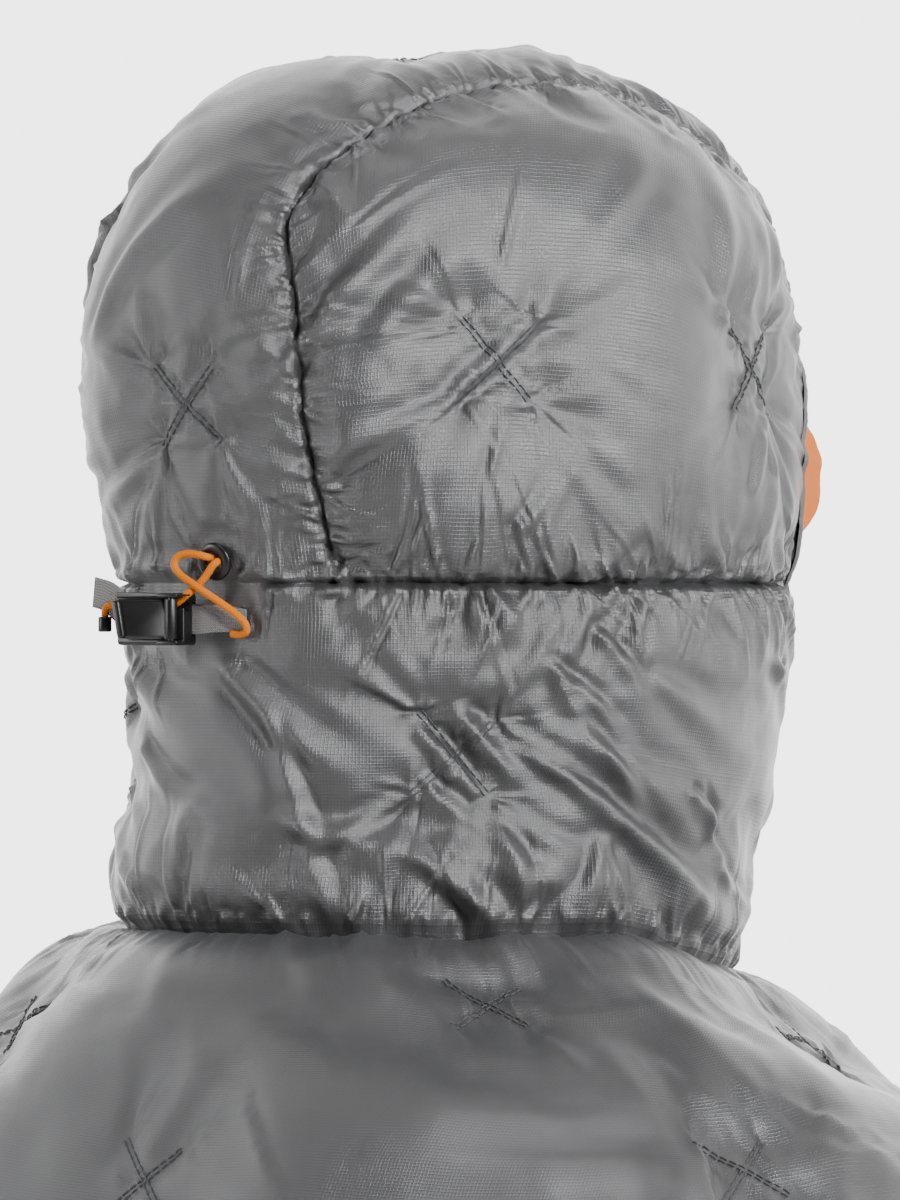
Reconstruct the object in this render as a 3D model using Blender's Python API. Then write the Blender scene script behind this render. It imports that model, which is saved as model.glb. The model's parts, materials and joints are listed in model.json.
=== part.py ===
"""Hooded camp quilt in its worn shape: hood, neck and body walls of shell, batting and lining,
a two-way front zip, and a drawcord adjuster at the back of the hood.

Metres, +Z up, the wearer faces -Y. The origin is the centre of the neck opening, level with the
back of the neck seam, where the wearer carries the quilt.
"""

import math

import bmesh
import bpy
import numpy as np
from mathutils import Matrix, Vector

# Overall sizes
HOOD_TOP = 0.291  # top of the hood above the neck seam
HOOD_WIDEST = 0.175  # height where the hood is widest
HOOD_ROUNDNESS = 2.3  # exponent of the dome, 2 is an ellipsoid
NAPE_HEIGHT = 0.111  # gathered seam between hood and neck
QUILT_DROP = 1.33  # neck seam to hem
CENTRE_PANEL_HALF = 0.052  # half the width of the hood's centre panel
CENTRE_PANEL_FLARE = 0.004  # how much wider that half is at the nape

# The neck seam dips towards the throat
SEAM_DIP_FROM = 0.02
SEAM_DIP_SLOPE = 0.18

# Sections as (height, half width, reach to the back, reach to the front)
HOOD_SECTIONS = (
    (-0.030, 0.104, 0.118, 0.098),
    (0.000, 0.1000, 0.115, 0.102),
    (0.055, 0.1005, 0.114, 0.116),
    (NAPE_HEIGHT, 0.1010, 0.115, 0.128),
    (HOOD_WIDEST, 0.1050, 0.130, 0.131),
)
BODY_SECTIONS = (
    (0.00, 0.1000, 0.115, 0.102),
    (-0.02, 0.1350, 0.138, 0.118),
    (-0.05, 0.1880, 0.163, 0.138),
    (-0.09, 0.2320, 0.182, 0.156),
    (-0.15, 0.2620, 0.193, 0.172),
    (-0.25, 0.2740, 0.197, 0.184),
    (-0.45, 0.2720, 0.193, 0.1877),
    (-0.90, 0.2620, 0.196, 0.1960),
    (-QUILT_DROP, 0.2550, 0.204, 0.204),
)
FOLDS = 9  # soft vertical folds round the hem
FOLD_DEPTH = 0.012

# Face opening, an egg-shaped hole seen from the front
FACE_CENTRE = 0.135
FACE_HALF_WIDTH = 0.066
FACE_HALF_HEIGHT = 0.080
FACE_ROUNDNESS = 2.3

# Wall layers
SHELL = 0.0010
BATTING = 0.0120
LINING = 0.0010
LAYER_GAP = 0.0003
SEAM_GAP = 0.0009  # between neighbouring panels
CHANNEL_HALF = 0.0035  # batting stops this far from the nape seam
BINDING = 0.0012

# Front zip
ZIP_GAP_HALF = 0.0090  # half the distance between the quilt's front edges
ZIP_MIDDLE_HALF = 0.00055  # half the slit between the two sides of the chain
COIL_WIDTH = 0.0026
COIL_THICK = 0.0022
COIL_DEPTH = 0.0028  # below the quilt's outer surface
TAPE_THICK = 0.0006
SLIDER_LENGTH = 0.0110
SLIDER_HALF_WIDTH = 0.0044
SLIDER_PLATE = 0.0012
PULL_LENGTH = 0.0260
PULL_HALF_WIDTH = 0.0036
PULL_THICK = 0.0014
RUN_GAP = 0.0003  # clearance where something slides or turns

# Hood adjuster
ANCHOR_X = -0.0290  # webbing anchor, right of the middle of the back
ANCHOR_HEIGHT = 0.0995
WEBBING_WIDTH = 0.0100
WEBBING_THICK = 0.0010
CORD_RADIUS = 0.00125
EYELET_ALONG = 0.0084  # eyelet from the anchor, along the webbing
EYELET_ABOVE = 0.0194
EYELET_OUTER = 0.0064
EYELET_HOLE = 0.0034

WALL = SHELL + BATTING + LINING + 2 * LAYER_GAP


def clear_scene():
    for obj in list(bpy.data.objects):
        bpy.data.objects.remove(obj)


def material(name, colour, roughness, metallic=0.0):
    made = bpy.data.materials.get(name) or bpy.data.materials.new(name)
    made.use_nodes = True
    made.diffuse_color = (*colour, 1)
    shader = made.node_tree.nodes["Principled BSDF"]
    shader.inputs["Base Color"].default_value = (*colour, 1)
    shader.inputs["Roughness"].default_value = roughness
    shader.inputs["Metallic"].default_value = metallic
    return made


def shell_cloth():
    return material("shell_cloth", (0.15, 0.15, 0.155), 0.42)


def lining_cloth():
    return material("lining_cloth", (0.85, 0.27, 0.03), 0.5)


def white_batting():
    return material("batting", (0.85, 0.85, 0.83), 0.95)


def black_plastic():
    return material("black_plastic", (0.015, 0.015, 0.016), 0.38)


def grey_webbing():
    return material("webbing", (0.20, 0.20, 0.20), 0.8)


def orange_cord():
    return material("orange_cord", (0.9, 0.28, 0.02), 0.6)


def steel():
    return material("steel", (0.6, 0.6, 0.62), 0.3, 1.0)


def link(obj):
    bpy.context.scene.collection.objects.link(obj)
    return obj


def mesh_object(name, points, faces, finish, smooth=True):
    mesh = bpy.data.meshes.new(name)
    mesh.from_pydata([tuple(p) for p in points], [], faces)
    bm = bmesh.new()
    bm.from_mesh(mesh)
    bmesh.ops.recalc_face_normals(bm, faces=bm.faces)
    bm.to_mesh(mesh)
    bm.free()
    if smooth:
        mesh.shade_smooth()
        mesh.set_sharp_from_angle(angle=math.radians(40))
    mesh.materials.append(finish)
    return link(bpy.data.objects.new(name, mesh))


# Curves through stations, with level ends
def through(stations, column, z):
    rows = sorted((s[0], s[column]) for s in stations)
    heights = np.array([r[0] for r in rows])
    values = np.array([r[1] for r in rows])
    slopes = np.gradient(values, heights)
    if stations is HOOD_SECTIONS:
        slopes[-1] = 0.0
    z = np.clip(z, heights[0], heights[-1])
    i = np.clip(np.searchsorted(heights, z) - 1, 0, len(heights) - 2)
    step = heights[i + 1] - heights[i]
    t = (z - heights[i]) / step
    return (
        values[i] * (2 * t**3 - 3 * t**2 + 1)
        + slopes[i] * step * (t**3 - 2 * t**2 + t)
        + values[i + 1] * (3 * t**2 - 2 * t**3)
        + slopes[i + 1] * step * (t**3 - t**2)
    )


def section(stations, z):
    """Half width, centre in Y and half depth of the level section at height z."""
    half_width = through(stations, 1, z)
    back = through(stations, 2, z)
    front = through(stations, 3, z)
    return half_width, (back - front) / 2, (back + front) / 2


# The hood and neck surface as a level set, so that rays from inside meet it once
def hood_level(p):
    x, y, z = p[..., 0], p[..., 1], p[..., 2]
    half_width, middle, depth = section(HOOD_SECTIONS, np.minimum(z, HOOD_WIDEST))
    flat = (x / half_width) ** 2 + ((y - middle) / depth) ** 2
    rise = np.clip((z - HOOD_WIDEST) / (HOOD_TOP - HOOD_WIDEST), 0, None)
    return flat ** (HOOD_ROUNDNESS / 2) + rise**HOOD_ROUNDNESS - 1


def hood_normal(p):
    step = 1e-5
    found = np.stack(
        [
            hood_level(p + step * np.eye(3)[axis]) - hood_level(p - step * np.eye(3)[axis])
            for axis in range(3)
        ],
        axis=-1,
    )
    return found / np.linalg.norm(found, axis=-1, keepdims=True)


def cast(start, direction):
    """Where rays from inside the hood meet its surface."""
    near = np.zeros(np.shape(direction)[:-1])
    far = np.full_like(near, 0.4)
    for _ in range(45):
        half = (near + far) / 2
        inside = hood_level(start + direction * half[..., None]) < 0
        near, far = np.where(inside, half, near), np.where(inside, far, half)
    return start + direction * near[..., None]


def front_point(x, z):
    """The hood or neck surface in front of the face, at (x, z)."""
    half_width, middle, depth = section(HOOD_SECTIONS, np.minimum(z, HOOD_WIDEST))
    rise = np.clip((z - HOOD_WIDEST) / (HOOD_TOP - HOOD_WIDEST), 0, 1)
    scale = (1 - rise**HOOD_ROUNDNESS) ** (1 / HOOD_ROUNDNESS)
    share = np.clip(1 - (x / (half_width * scale)) ** 2, 0, 1)
    return np.stack([x, middle - depth * scale * np.sqrt(share), z], axis=-1)


def face_edge(turn, inset=0.0):
    """A point on the rim of the face opening. turn is 0 at the wearer's left, pi/2 at the forehead."""
    power = 2 / FACE_ROUNDNESS
    c, s = np.cos(turn), np.sin(turn)
    x = (FACE_HALF_WIDTH - inset) * np.sign(c) * np.abs(c) ** power
    z = FACE_CENTRE + (FACE_HALF_HEIGHT - inset) * np.sign(s) * np.abs(s) ** power
    return front_point(x, z)


def face_turn_at_height(z):
    """turn of the rim's point at height z, on the wearer's left."""
    share = (z - FACE_CENTRE) / FACE_HALF_HEIGHT
    return math.asin(math.copysign(abs(share) ** (FACE_ROUNDNESS / 2), share))


def face_turn_at_width(x, above):
    share = (x / FACE_HALF_WIDTH) ** (FACE_ROUNDNESS / 2)
    turn = math.acos(share)
    return turn if above else -turn


def neck_seam_height(y):
    """Height of the neck seam at depth y: level at the back, lower at the throat."""
    below = np.clip(SEAM_DIP_FROM - y, 0, None)
    return -SEAM_DIP_SLOPE * below * np.clip(below / 0.04, 0, 1)


def even(points, count):
    """The polyline again, as count points evenly spaced along it."""
    points = np.asarray(points)
    steps = np.linalg.norm(np.diff(points, axis=0), axis=1)
    along = np.concatenate([[0], np.cumsum(steps)])
    at = np.linspace(0, along[-1], count)
    return np.stack([np.interp(at, along, points[:, k]) for k in range(3)], axis=1)


def level_normal(normals):
    flat = normals * np.array([1, 1, 0])
    return flat / np.linalg.norm(flat, axis=-1, keepdims=True)


# One wall layer between two depths under a grid of surface points
def wall_layer(name, points, normals, depth, thickness, finish):
    rows, cols = points.shape[:2]
    near = (points - normals * depth).reshape(-1, 3)
    far = (points - normals * (depth + thickness)).reshape(-1, 3)
    count = rows * cols

    def triangles(a, b, c, d):
        return [(a, b, c), (a, c, d)]

    faces = []
    for r in range(rows - 1):
        for k in range(cols - 1):
            a, b = r * cols + k, r * cols + k + 1
            c, d = b + cols, a + cols
            faces += triangles(a, b, c, d)
            faces += triangles(c + count, b + count, a + count, d + count)
    rim = list(range(cols))
    rim += [r * cols + cols - 1 for r in range(1, rows)]
    rim += [(rows - 1) * cols + k for k in range(cols - 2, -1, -1)]
    rim += [r * cols for r in range(rows - 2, 0, -1)]
    for a, b in zip(rim, rim[1:] + rim[:1]):
        faces += triangles(b, a, a + count, b + count)
    return mesh_object(name, np.vstack([near, far]), faces, finish)


def pulled_back(points, normals, row, beside, columns=slice(None)):
    """The grid with one edge row moved back to make room for the drawcord channel."""
    points, normals = points.copy(), normals.copy()
    span = points[beside, columns] - points[row, columns]
    share = CHANNEL_HALF / np.linalg.norm(span, axis=-1, keepdims=True)
    points[row, columns] += span * share
    normals[row, columns] += (normals[beside, columns] - normals[row, columns]) * share
    return points, normals


def three_layers(part, surface):
    """Shell, batting and lining of one panel. surface(batting) gives its points and normals."""
    points, normals = surface(False)
    wall_layer(part + "_shell", points, normals, 0, SHELL, shell_cloth())
    inner = SHELL + 2 * LAYER_GAP + BATTING
    wall_layer(part + "_lining", points, normals, inner, LINING, lining_cloth())
    trimmed = surface(True)
    wall_layer(part + "_batting", *trimmed, SHELL + LAYER_GAP, BATTING, white_batting())
    return points, normals


# Hood
def centre_half_width(v):
    """Half width of the centre panel, v from 0 at the forehead to 1 at the nape."""
    return CENTRE_PANEL_HALF + CENTRE_PANEL_FLARE * np.clip((v - 0.6) / 0.4, 0, 1)


def hood_seam(v, side, offset, bottom):
    """Points along the seam between the centre and a side panel, forehead to nape."""
    x = side * (centre_half_width(v) + offset)
    front = face_edge(face_turn_at_width(CENTRE_PANEL_HALF, True))
    start_angle = math.atan2(front[2] - 0.15, front[1])
    end = front_point(np.array(0.0), np.array(bottom))
    half_width, middle, depth = section(HOOD_SECTIONS, bottom)
    reach = middle + depth * np.sqrt(1 - (x[-1] / half_width) ** 2)
    end_angle = math.atan2(end[2] - 0.15, reach)
    angle = start_angle + (end_angle - start_angle) * v
    start = np.stack([x, 0 * x, 0 * x + 0.15], axis=-1)
    direction = np.stack([0 * x, np.cos(angle), np.sin(angle)], axis=-1)
    return cast(start, direction)


def centre_panel(rows, cols):
    def surface(batting):
        bottom = NAPE_HEIGHT + SEAM_GAP / 2
        across = np.linspace(-1, 1, cols)
        along = np.linspace(0, 1, rows)
        grid = np.zeros((rows, cols, 3))
        for k, u in enumerate(across):
            x = u * (centre_half_width(along) - SEAM_GAP / 2)
            turn = face_turn_at_width(abs(x[0]), True)
            front = face_edge(turn if u > 0 else math.pi - turn)
            half_width, middle, depth = section(HOOD_SECTIONS, bottom)
            reach = middle + depth * math.sqrt(1 - (x[-1] / half_width) ** 2)
            angles = (
                math.atan2(front[2] - 0.15, front[1]),
                math.atan2(bottom - 0.15, reach),
            )
            angle = angles[0] + (angles[1] - angles[0]) * along
            start = np.stack([x, 0 * x, 0 * x + 0.15], axis=-1)
            direction = np.stack([0 * x, np.cos(angle), np.sin(angle)], axis=-1)
            grid[:, k] = cast(start, direction)
        normals = hood_normal(grid)
        normals[-1] = level_normal(normals[-1])
        return pulled_back(grid, normals, -1, -2) if batting else (grid, normals)

    return surface


def side_panel(side, rows, cols):
    def surface(batting):
        bottom = NAPE_HEIGHT + SEAM_GAP / 2
        seam = hood_seam(np.linspace(0, 1, 400), side, SEAM_GAP / 2, bottom)
        steps = np.linalg.norm(np.diff(seam, axis=0), axis=1)
        along = np.concatenate([[0], np.cumsum(steps)]) / steps.sum()
        cut_back = np.searchsorted(along, 0.55)
        turns = np.linspace(face_turn_at_height(bottom), face_turn_at_width(CENTRE_PANEL_HALF, True), 60)
        rim = np.array([face_edge(t) for t in turns]) * np.array([side, 1, 1])
        rim[-1] = seam[0]
        right = even(rim, rows)
        left = even(seam[cut_back:][::-1], rows)
        top = even(seam[:cut_back + 1][::-1], cols)
        half_width, middle, depth = section(HOOD_SECTIONS, bottom)
        first = math.asin(abs(seam[-1, 0]) / half_width)
        last = math.pi - math.asin(abs(rim[0, 0]) / half_width)
        turn = np.linspace(first, last, 200)
        base = np.stack(
            [side * half_width * np.sin(turn), middle + depth * np.cos(turn), 0 * turn + bottom],
            axis=-1,
        )
        lower = even(base, cols)
        s = np.linspace(0, 1, cols)[None, :, None]
        t = np.linspace(0, 1, rows)[:, None, None]
        corners = lower[0], lower[-1], top[0], top[-1]
        grid = (
            (1 - t) * lower[None] + t * top[None] + (1 - s) * left[:, None] + s * right[:, None]
            - (1 - s) * (1 - t) * corners[0] - s * (1 - t) * corners[1]
            - (1 - s) * t * corners[2] - s * t * corners[3]
        )
        middle_point = np.array([0, 0, 0.15])
        heading = grid - middle_point
        heading /= np.linalg.norm(heading, axis=-1, keepdims=True)
        inner = cast(middle_point + 0 * heading, heading)
        grid[1:-1, 1:-1] = inner[1:-1, 1:-1]
        normals = hood_normal(grid)
        normals[0] = level_normal(normals[0])
        if side < 0:
            grid, normals = grid[:, ::-1], normals[:, ::-1]
        return pulled_back(grid, normals, 0, 1) if batting else (grid, normals)

    return surface


# Neck and body share their columns, given as turns round the wearer: 0 at the back, pi at the front
def column_shares(cols):
    """Shares of the way from the middle of the back to a front edge, with one at the face rim."""
    half_width, _, _ = section(HOOD_SECTIONS, NAPE_HEIGHT)
    corner_x = face_edge(face_turn_at_height(NAPE_HEIGHT))[0]
    corner = (math.pi - math.asin(corner_x / half_width)) / (math.pi - math.asin(ZIP_GAP_HALF / half_width))
    back = round(cols * corner)
    return np.concatenate([np.linspace(0, corner, back + 1), np.linspace(corner, 1, cols - back + 1)[1:]])


def round_trip(cols):
    half = column_shares(cols)
    return np.concatenate([-half[:0:-1], half])


def section_point(stations, share, z, fold=0.0):
    """Surface point at a share of the way round, at height z."""
    half_width, middle, depth = section(stations, z)
    edge = math.pi - np.arcsin(ZIP_GAP_HALF / half_width)
    turn = share * edge
    calm = np.clip((1 - np.abs(share)) / 0.18, 0, 1)
    swell = 1 + fold * np.cos(FOLDS * turn) * calm * calm * (3 - 2 * calm)
    x = half_width * np.sin(turn) * swell
    return np.stack([x, middle + depth * np.cos(turn) * swell, z + 0 * x], axis=-1)


def straighten_edges(normals):
    """Keeps the walls beside the zip square to it."""
    for edge in (0, -1):
        normals[:, edge, 0] = 0
        normals[:, edge] /= np.linalg.norm(normals[:, edge], axis=-1, keepdims=True)


def neck_panel(rows, cols):
    shares = round_trip(cols)

    def surface(batting):
        half = FACE_HALF_WIDTH
        grid = np.zeros((rows, len(shares), 3))
        for k, share in enumerate(shares):
            foot = section_point(HOOD_SECTIONS, share, np.array(0.0))
            low = float(neck_seam_height(foot[1])) + SEAM_GAP / 2
            top = NAPE_HEIGHT - SEAM_GAP / 2
            for _ in range(12):
                tip = section_point(HOOD_SECTIONS, share, np.array(top))
                if tip[1] > 0 or abs(tip[0]) >= half:
                    break
                inside = 1 - (abs(tip[0]) / half) ** FACE_ROUNDNESS
                rim = FACE_CENTRE - FACE_HALF_HEIGHT * inside ** (1 / FACE_ROUNDNESS)
                top = min(top, rim)
            z = np.linspace(low, top, rows)
            grid[:, k] = section_point(HOOD_SECTIONS, share, z)
        normals = hood_normal(grid)
        normals[0] = level_normal(normals[0])
        back = grid[-1, :, 2] > NAPE_HEIGHT - SEAM_GAP
        normals[-1, back] = level_normal(normals[-1, back])
        straighten_edges(normals)
        return pulled_back(grid, normals, -1, -2, back) if batting else (grid, normals)

    return surface


BODY_ROWS = (0.0, 0.018, 0.045, 0.08, 0.13, 0.20, 0.32, 0.50, 0.72, 0.94, 1.14, QUILT_DROP)


def body_panel(cols):
    shares = round_trip(cols)

    def surface(_batting):
        grid = np.zeros((len(BODY_ROWS), len(shares), 3))
        for k, share in enumerate(shares):
            foot = section_point(HOOD_SECTIONS, share, np.array(0.0))
            dip = float(neck_seam_height(foot[1])) - SEAM_GAP / 2
            for r, drop in enumerate(BODY_ROWS):
                fold = FOLD_DEPTH / 0.23 * min(1, max(0, (drop - 0.15) / 0.8))
                point = section_point(BODY_SECTIONS, share, np.array(-drop), fold)
                point[2] += dip * max(0, 1 - drop / 0.2)
                if r == 0:
                    point = section_point(HOOD_SECTIONS, share, np.array(dip))
                grid[r, k] = point
        across = np.gradient(grid, axis=1)
        down = np.gradient(grid, axis=0)
        normals = np.cross(down, across)
        normals /= np.linalg.norm(normals, axis=-1, keepdims=True)
        outward = grid * np.array([1, 1, 0])
        if (normals * outward).sum() < 0:
            normals = -normals
        normals[0] = level_normal(hood_normal(grid[0]))
        normals[-1] = level_normal(normals[-1])
        straighten_edges(normals)
        return grid, normals

    return surface


# Strips that cap the wall's open edges
def edge_band(name, points, normals, away, finish):
    """A band over a wall edge. away is roughly the way the edge faces."""
    points, normals = np.asarray(points), np.asarray(normals)
    tangent = np.gradient(points, axis=0)
    facing = np.cross(tangent, normals)
    facing /= np.linalg.norm(facing, axis=-1, keepdims=True)
    if (facing * away).sum() < 0:
        facing = -facing
    lip = 0.0004
    corners = []
    for across, depth in ((0, -lip), (1, -lip), (1, WALL + lip), (0, WALL + lip)):
        reach = LAYER_GAP + 0.0002 + across * BINDING
        corners.append(points + facing * reach - normals * depth)
    return sweep_mesh(name, corners, finish)


def sweep_mesh(name, corners, finish):
    """A closed solid from the tracks of its section's corners."""
    count, sides = len(corners[0]), len(corners)
    tracks = np.array(corners)
    points = [tracks[k, i] for i in range(count) for k in range(sides)]
    faces = []
    for i in range(count - 1):
        for k in range(sides):
            a, b = i * sides + k, i * sides + (k + 1) % sides
            faces.append((a, b, b + sides))
            faces.append((a, b + sides, a + sides))
    faces.append(tuple(range(sides))[::-1])
    faces.append(tuple((count - 1) * sides + k for k in range(sides)))
    return mesh_object(name, points, faces, finish)


def join_runs(*runs):
    points = np.vstack([r[0] for r in runs])
    normals = np.vstack([r[1] for r in runs])
    keep = np.concatenate([[True], np.linalg.norm(np.diff(points, axis=0), axis=1) > 0.002])
    normals = normals / np.linalg.norm(normals, axis=-1, keepdims=True)
    return points[keep], normals[keep]


def face_binding(centre, left, right, neck):
    corner = np.argmax(neck[0][-1, ::-1, 2] > NAPE_HEIGHT - SEAM_GAP)
    chin_left = [g[-1, ::-1][:corner] for g in neck]
    chin_right = [g[-1][:corner][::-1] for g in neck]
    rim_left = [g[:, -1] for g in left]
    rim_right = [g[::-1, 0] for g in right]
    over = [g[0, ::-1] for g in centre]
    points, normals = join_runs(chin_left, rim_left, over, rim_right, chin_right)
    away = np.array([0, 0, FACE_CENTRE]) - points
    edge_band("face_opening_binding", points, normals, away, shell_cloth())


# Zip, in the plane x = 0. Its line is a list of (y, z) from the chin to the hem.
def zip_line(neck, body):
    top = neck[0][-1, 0] - neck[1][-1, 0] * COIL_DEPTH
    seam = neck[0][0, 0] - neck[1][0, 0] * COIL_DEPTH
    line = [(top[1], top[2] - 0.002), (seam[1], seam[2])]
    rows = body[0][:, 0] - body[1][:, 0] * COIL_DEPTH
    chest = [r for r in rows[1:] if r[2] > -0.24]
    line += [(r[1], r[2]) for r in chest]
    lowest = rows[-1]
    for share in np.linspace(0, 1, 7):
        start = RUN_START
        line.append((start[0] + (lowest[1] - start[0]) * share, start[1] + (lowest[2] - start[1]) * share))
    return np.array(line)


RUN_START = (-0.1812, -0.262)


def zip_frames(line):
    """Outward directions along the zip line, square to it."""
    along = np.gradient(line, axis=0)
    along /= np.linalg.norm(along, axis=1, keepdims=True)
    return np.stack([along[:, 1], -along[:, 0]], axis=1)


def zip_strip(name, line, side, x_near, x_far, low, high, finish):
    """A strip between two x values and two heights over the zip line."""
    outward = zip_frames(line)
    corners = []
    for x, height in ((x_near, low), (x_far, low), (x_far, high), (x_near, high)):
        yz = line + outward * height
        corners.append(np.stack([0 * yz[:, 0] + side * x, yz[:, 0], yz[:, 1]], axis=1))
    return sweep_mesh(name, corners, finish)


def zip_sides(line):
    for side, word in ((1, "left"), (-1, "right")):
        near = ZIP_MIDDLE_HALF
        far = near + COIL_WIDTH
        zip_strip("zip_coil_" + word, line, side, near, far, 0, COIL_THICK, black_plastic())
        top = -LAYER_GAP
        inner, outer = near + 0.0006, ZIP_GAP_HALF - LAYER_GAP
        zip_strip("zip_tape_" + word, line, side, inner, outer, top - TAPE_THICK, top, shell_cloth())


def box(name, low, high, place, finish=None):
    points = [(x, y, z) for x in (low[0], high[0]) for y in (low[1], high[1]) for z in (low[2], high[2])]
    faces = [(0, 1, 3, 2), (4, 6, 7, 5), (0, 4, 5, 1), (2, 3, 7, 6), (0, 2, 6, 4), (1, 5, 7, 3)]
    return mesh_object(name, [place @ Vector(p) for p in points], faces, finish or black_plastic(), False)


def rod(name, start, end, radius, finish, sides=24, hole=0.0):
    """A cylinder, or a ring when hole is its inner radius."""
    axis = (end - start).normalized()
    side = axis.orthogonal().normalized()
    other = axis.cross(side)
    turns = [2 * math.pi * k / sides for k in range(sides)]
    points = []
    for centre in (start, end):
        points += [centre + radius * (math.cos(t) * side + math.sin(t) * other) for t in turns]
    for centre in (start, end) if hole else ():
        points += [centre + hole * (math.cos(t) * side + math.sin(t) * other) for t in turns]
    faces = []
    for k in range(sides):
        n = (k + 1) % sides
        faces.append((k, n, n + sides, k + sides))
        if hole:
            a, b = k + 2 * sides, n + 2 * sides
            faces.append((b, a, a + sides, b + sides))
            faces.append((k, a, b, n))
            faces.append((k + sides, n + sides, b + sides, a + sides))
    if not hole:
        faces.append(tuple(range(sides))[::-1])
        faces.append(tuple(range(sides, 2 * sides)))
    return mesh_object(name, points, faces, finish)


def combine(target, others, operation):
    for other in others:
        step = target.modifiers.new(operation.lower(), "BOOLEAN")
        step.operation = operation
        step.solver = "EXACT"
        step.object = other
        view = bpy.context.evaluated_depsgraph_get()
        mesh = bpy.data.meshes.new_from_object(target.evaluated_get(view))
        target.modifiers.clear()
        target.data = mesh
        bpy.data.objects.remove(other)
    target.data.materials.clear()
    return target


def local_frame(origin, right, up, out):
    frame = Matrix.Identity(4)
    for k, axis in enumerate((right, up, out)):
        for row in range(3):
            frame[row][k] = axis[row]
    for row in range(3):
        frame[row][3] = origin[row]
    return frame


def set_origin(obj, point):
    obj.data.transform(Matrix.Translation(-Vector(point)))
    obj.location = point


def zip_slider(name, place, lean):
    """Slider and pull. In the place frame x is across, y up the zip and z outward from the coils' backs.
    lean turns the hanging pull out from the slider, in degrees."""
    half, length = SLIDER_HALF_WIDTH, SLIDER_LENGTH
    floor = -LAYER_GAP - TAPE_THICK - RUN_GAP
    roof = COIL_THICK + RUN_GAP
    top = roof + SLIDER_PLATE
    outer = box(name, (-half, 0, roof), (half, length, top), place)
    inner = box("inner", (-half, 0, floor - 0.001), (half, length, floor), place)
    fin_half = ZIP_MIDDLE_HALF - RUN_GAP
    fin = box("fin", (-fin_half, 0.001, floor - 0.0004), (fin_half, length - 0.001, roof + 0.0004), place)
    bar_at = 0.0062, top + 0.0023
    parts = [inner, fin]
    for side in (-1, 1):
        low, high = sorted((side * 0.0022, side * 0.0034))
        parts.append(box("lug", (low, 0.0045, top - 0.0003), (high, 0.0079, top + 0.0032), place))
    bar_ends = [place @ Vector((x, *bar_at)) for x in (-0.0025, 0.0025)]
    parts.append(rod("bar", bar_ends[0], bar_ends[1], 0.0006, black_plastic(), 16))
    slider = combine(outer, parts, "UNION")
    slider.data.materials.append(steel())
    hinge = place @ Vector((0, *bar_at))
    hang = place @ Matrix.Translation((0, *bar_at)) @ Matrix.Rotation(math.radians(-lean), 4, "X")
    ring_ends = [hang @ Vector((x, 0, 0)) for x in (-0.0019, 0.0019)]
    pull = rod(name + "_pull", ring_ends[0], ring_ends[1], 0.0016, steel(), 24, 0.0009)
    thick = PULL_THICK / 2
    neck = box("neck", (-0.0019, -0.0070, -thick), (0.0019, -0.0012, thick), hang)
    low, high = (-PULL_HALF_WIDTH, -PULL_LENGTH, -thick), (PULL_HALF_WIDTH, -0.0060, thick)
    combine(pull, [neck, box("blade", low, high, hang)], "UNION")
    pull.data.materials.append(steel())
    set_origin(pull, hinge)
    return slider, pull


def zip_place(line, start, end, at_end, shift):
    """Frame on a straight run of the zip line, with y up the zip."""
    a, b = Vector((0, *line[start])), Vector((0, *line[end]))
    up = (a - b).normalized()
    right = Vector((1, 0, 0))
    out = right.cross(up)
    origin = (b if at_end else a) + up * shift
    return local_frame(origin, right, up, out)


def zip_stops(line):
    top = zip_place(line, 0, 1, False, 0)
    foot = zip_place(line, -2, -1, True, 0)
    for side, word in ((1, "left"), (-1, "right")):
        low, high = sorted((side * 0.0004, side * 0.0036))
        box("zip_top_stop_" + word, (low, 0.0004, -0.0009), (high, 0.0022, 0.0026), top, steel())
        low, high = sorted((side * 0.0004, side * 0.0036))
        box("zip_foot_stop_" + word, (low, -0.0022, -0.0009), (high, -0.0004, 0.0026), foot, steel())


# Hood adjuster, at the anchor of its webbing: x to the wearer's left, y up, z out of the hood
def adjuster_place():
    half_width, middle, depth = section(HOOD_SECTIONS, ANCHOR_HEIGHT)
    turn = math.asin(ANCHOR_X / half_width)
    origin = Vector((ANCHOR_X, middle + depth * math.cos(turn), ANCHOR_HEIGHT))
    along = Vector((half_width * math.cos(turn), -depth * math.sin(turn), 0)).normalized()
    up = Vector((0, 0, 1))
    return local_frame(origin, along, up, up.cross(along))


def cord(name, points, finish, radius=CORD_RADIUS):
    curve = bpy.data.curves.new(name, "CURVE")
    curve.dimensions = "3D"
    curve.bevel_depth = radius
    curve.bevel_resolution = 2
    curve.use_fill_caps = True
    spline = curve.splines.new("POLY")
    spline.points.add(len(points) - 1)
    for slot, point in zip(spline.points, points):
        slot.co = (*point, 1)
    curve.materials.append(finish)
    return link(bpy.data.objects.new(name, curve))


def smooth_route(points, count):
    """A centripetal curve through the points, evenly spaced."""
    p = [Vector(q) for q in points]
    p = [2 * p[0] - p[1]] + p + [2 * p[-1] - p[-2]]
    fine = []
    for a, b, c, d in zip(p, p[1:], p[2:], p[3:]):
        for step in range(24):
            t = step / 24
            fine.append(
                0.5 * (2 * b + (c - a) * t + (2 * a - 5 * b + 4 * c - d) * t**2 + (3 * b - a - 3 * c + d) * t**3)
            )
    fine.append(p[-2])
    return [Vector(q) for q in even(np.array([tuple(q) for q in fine]), count)]


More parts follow.
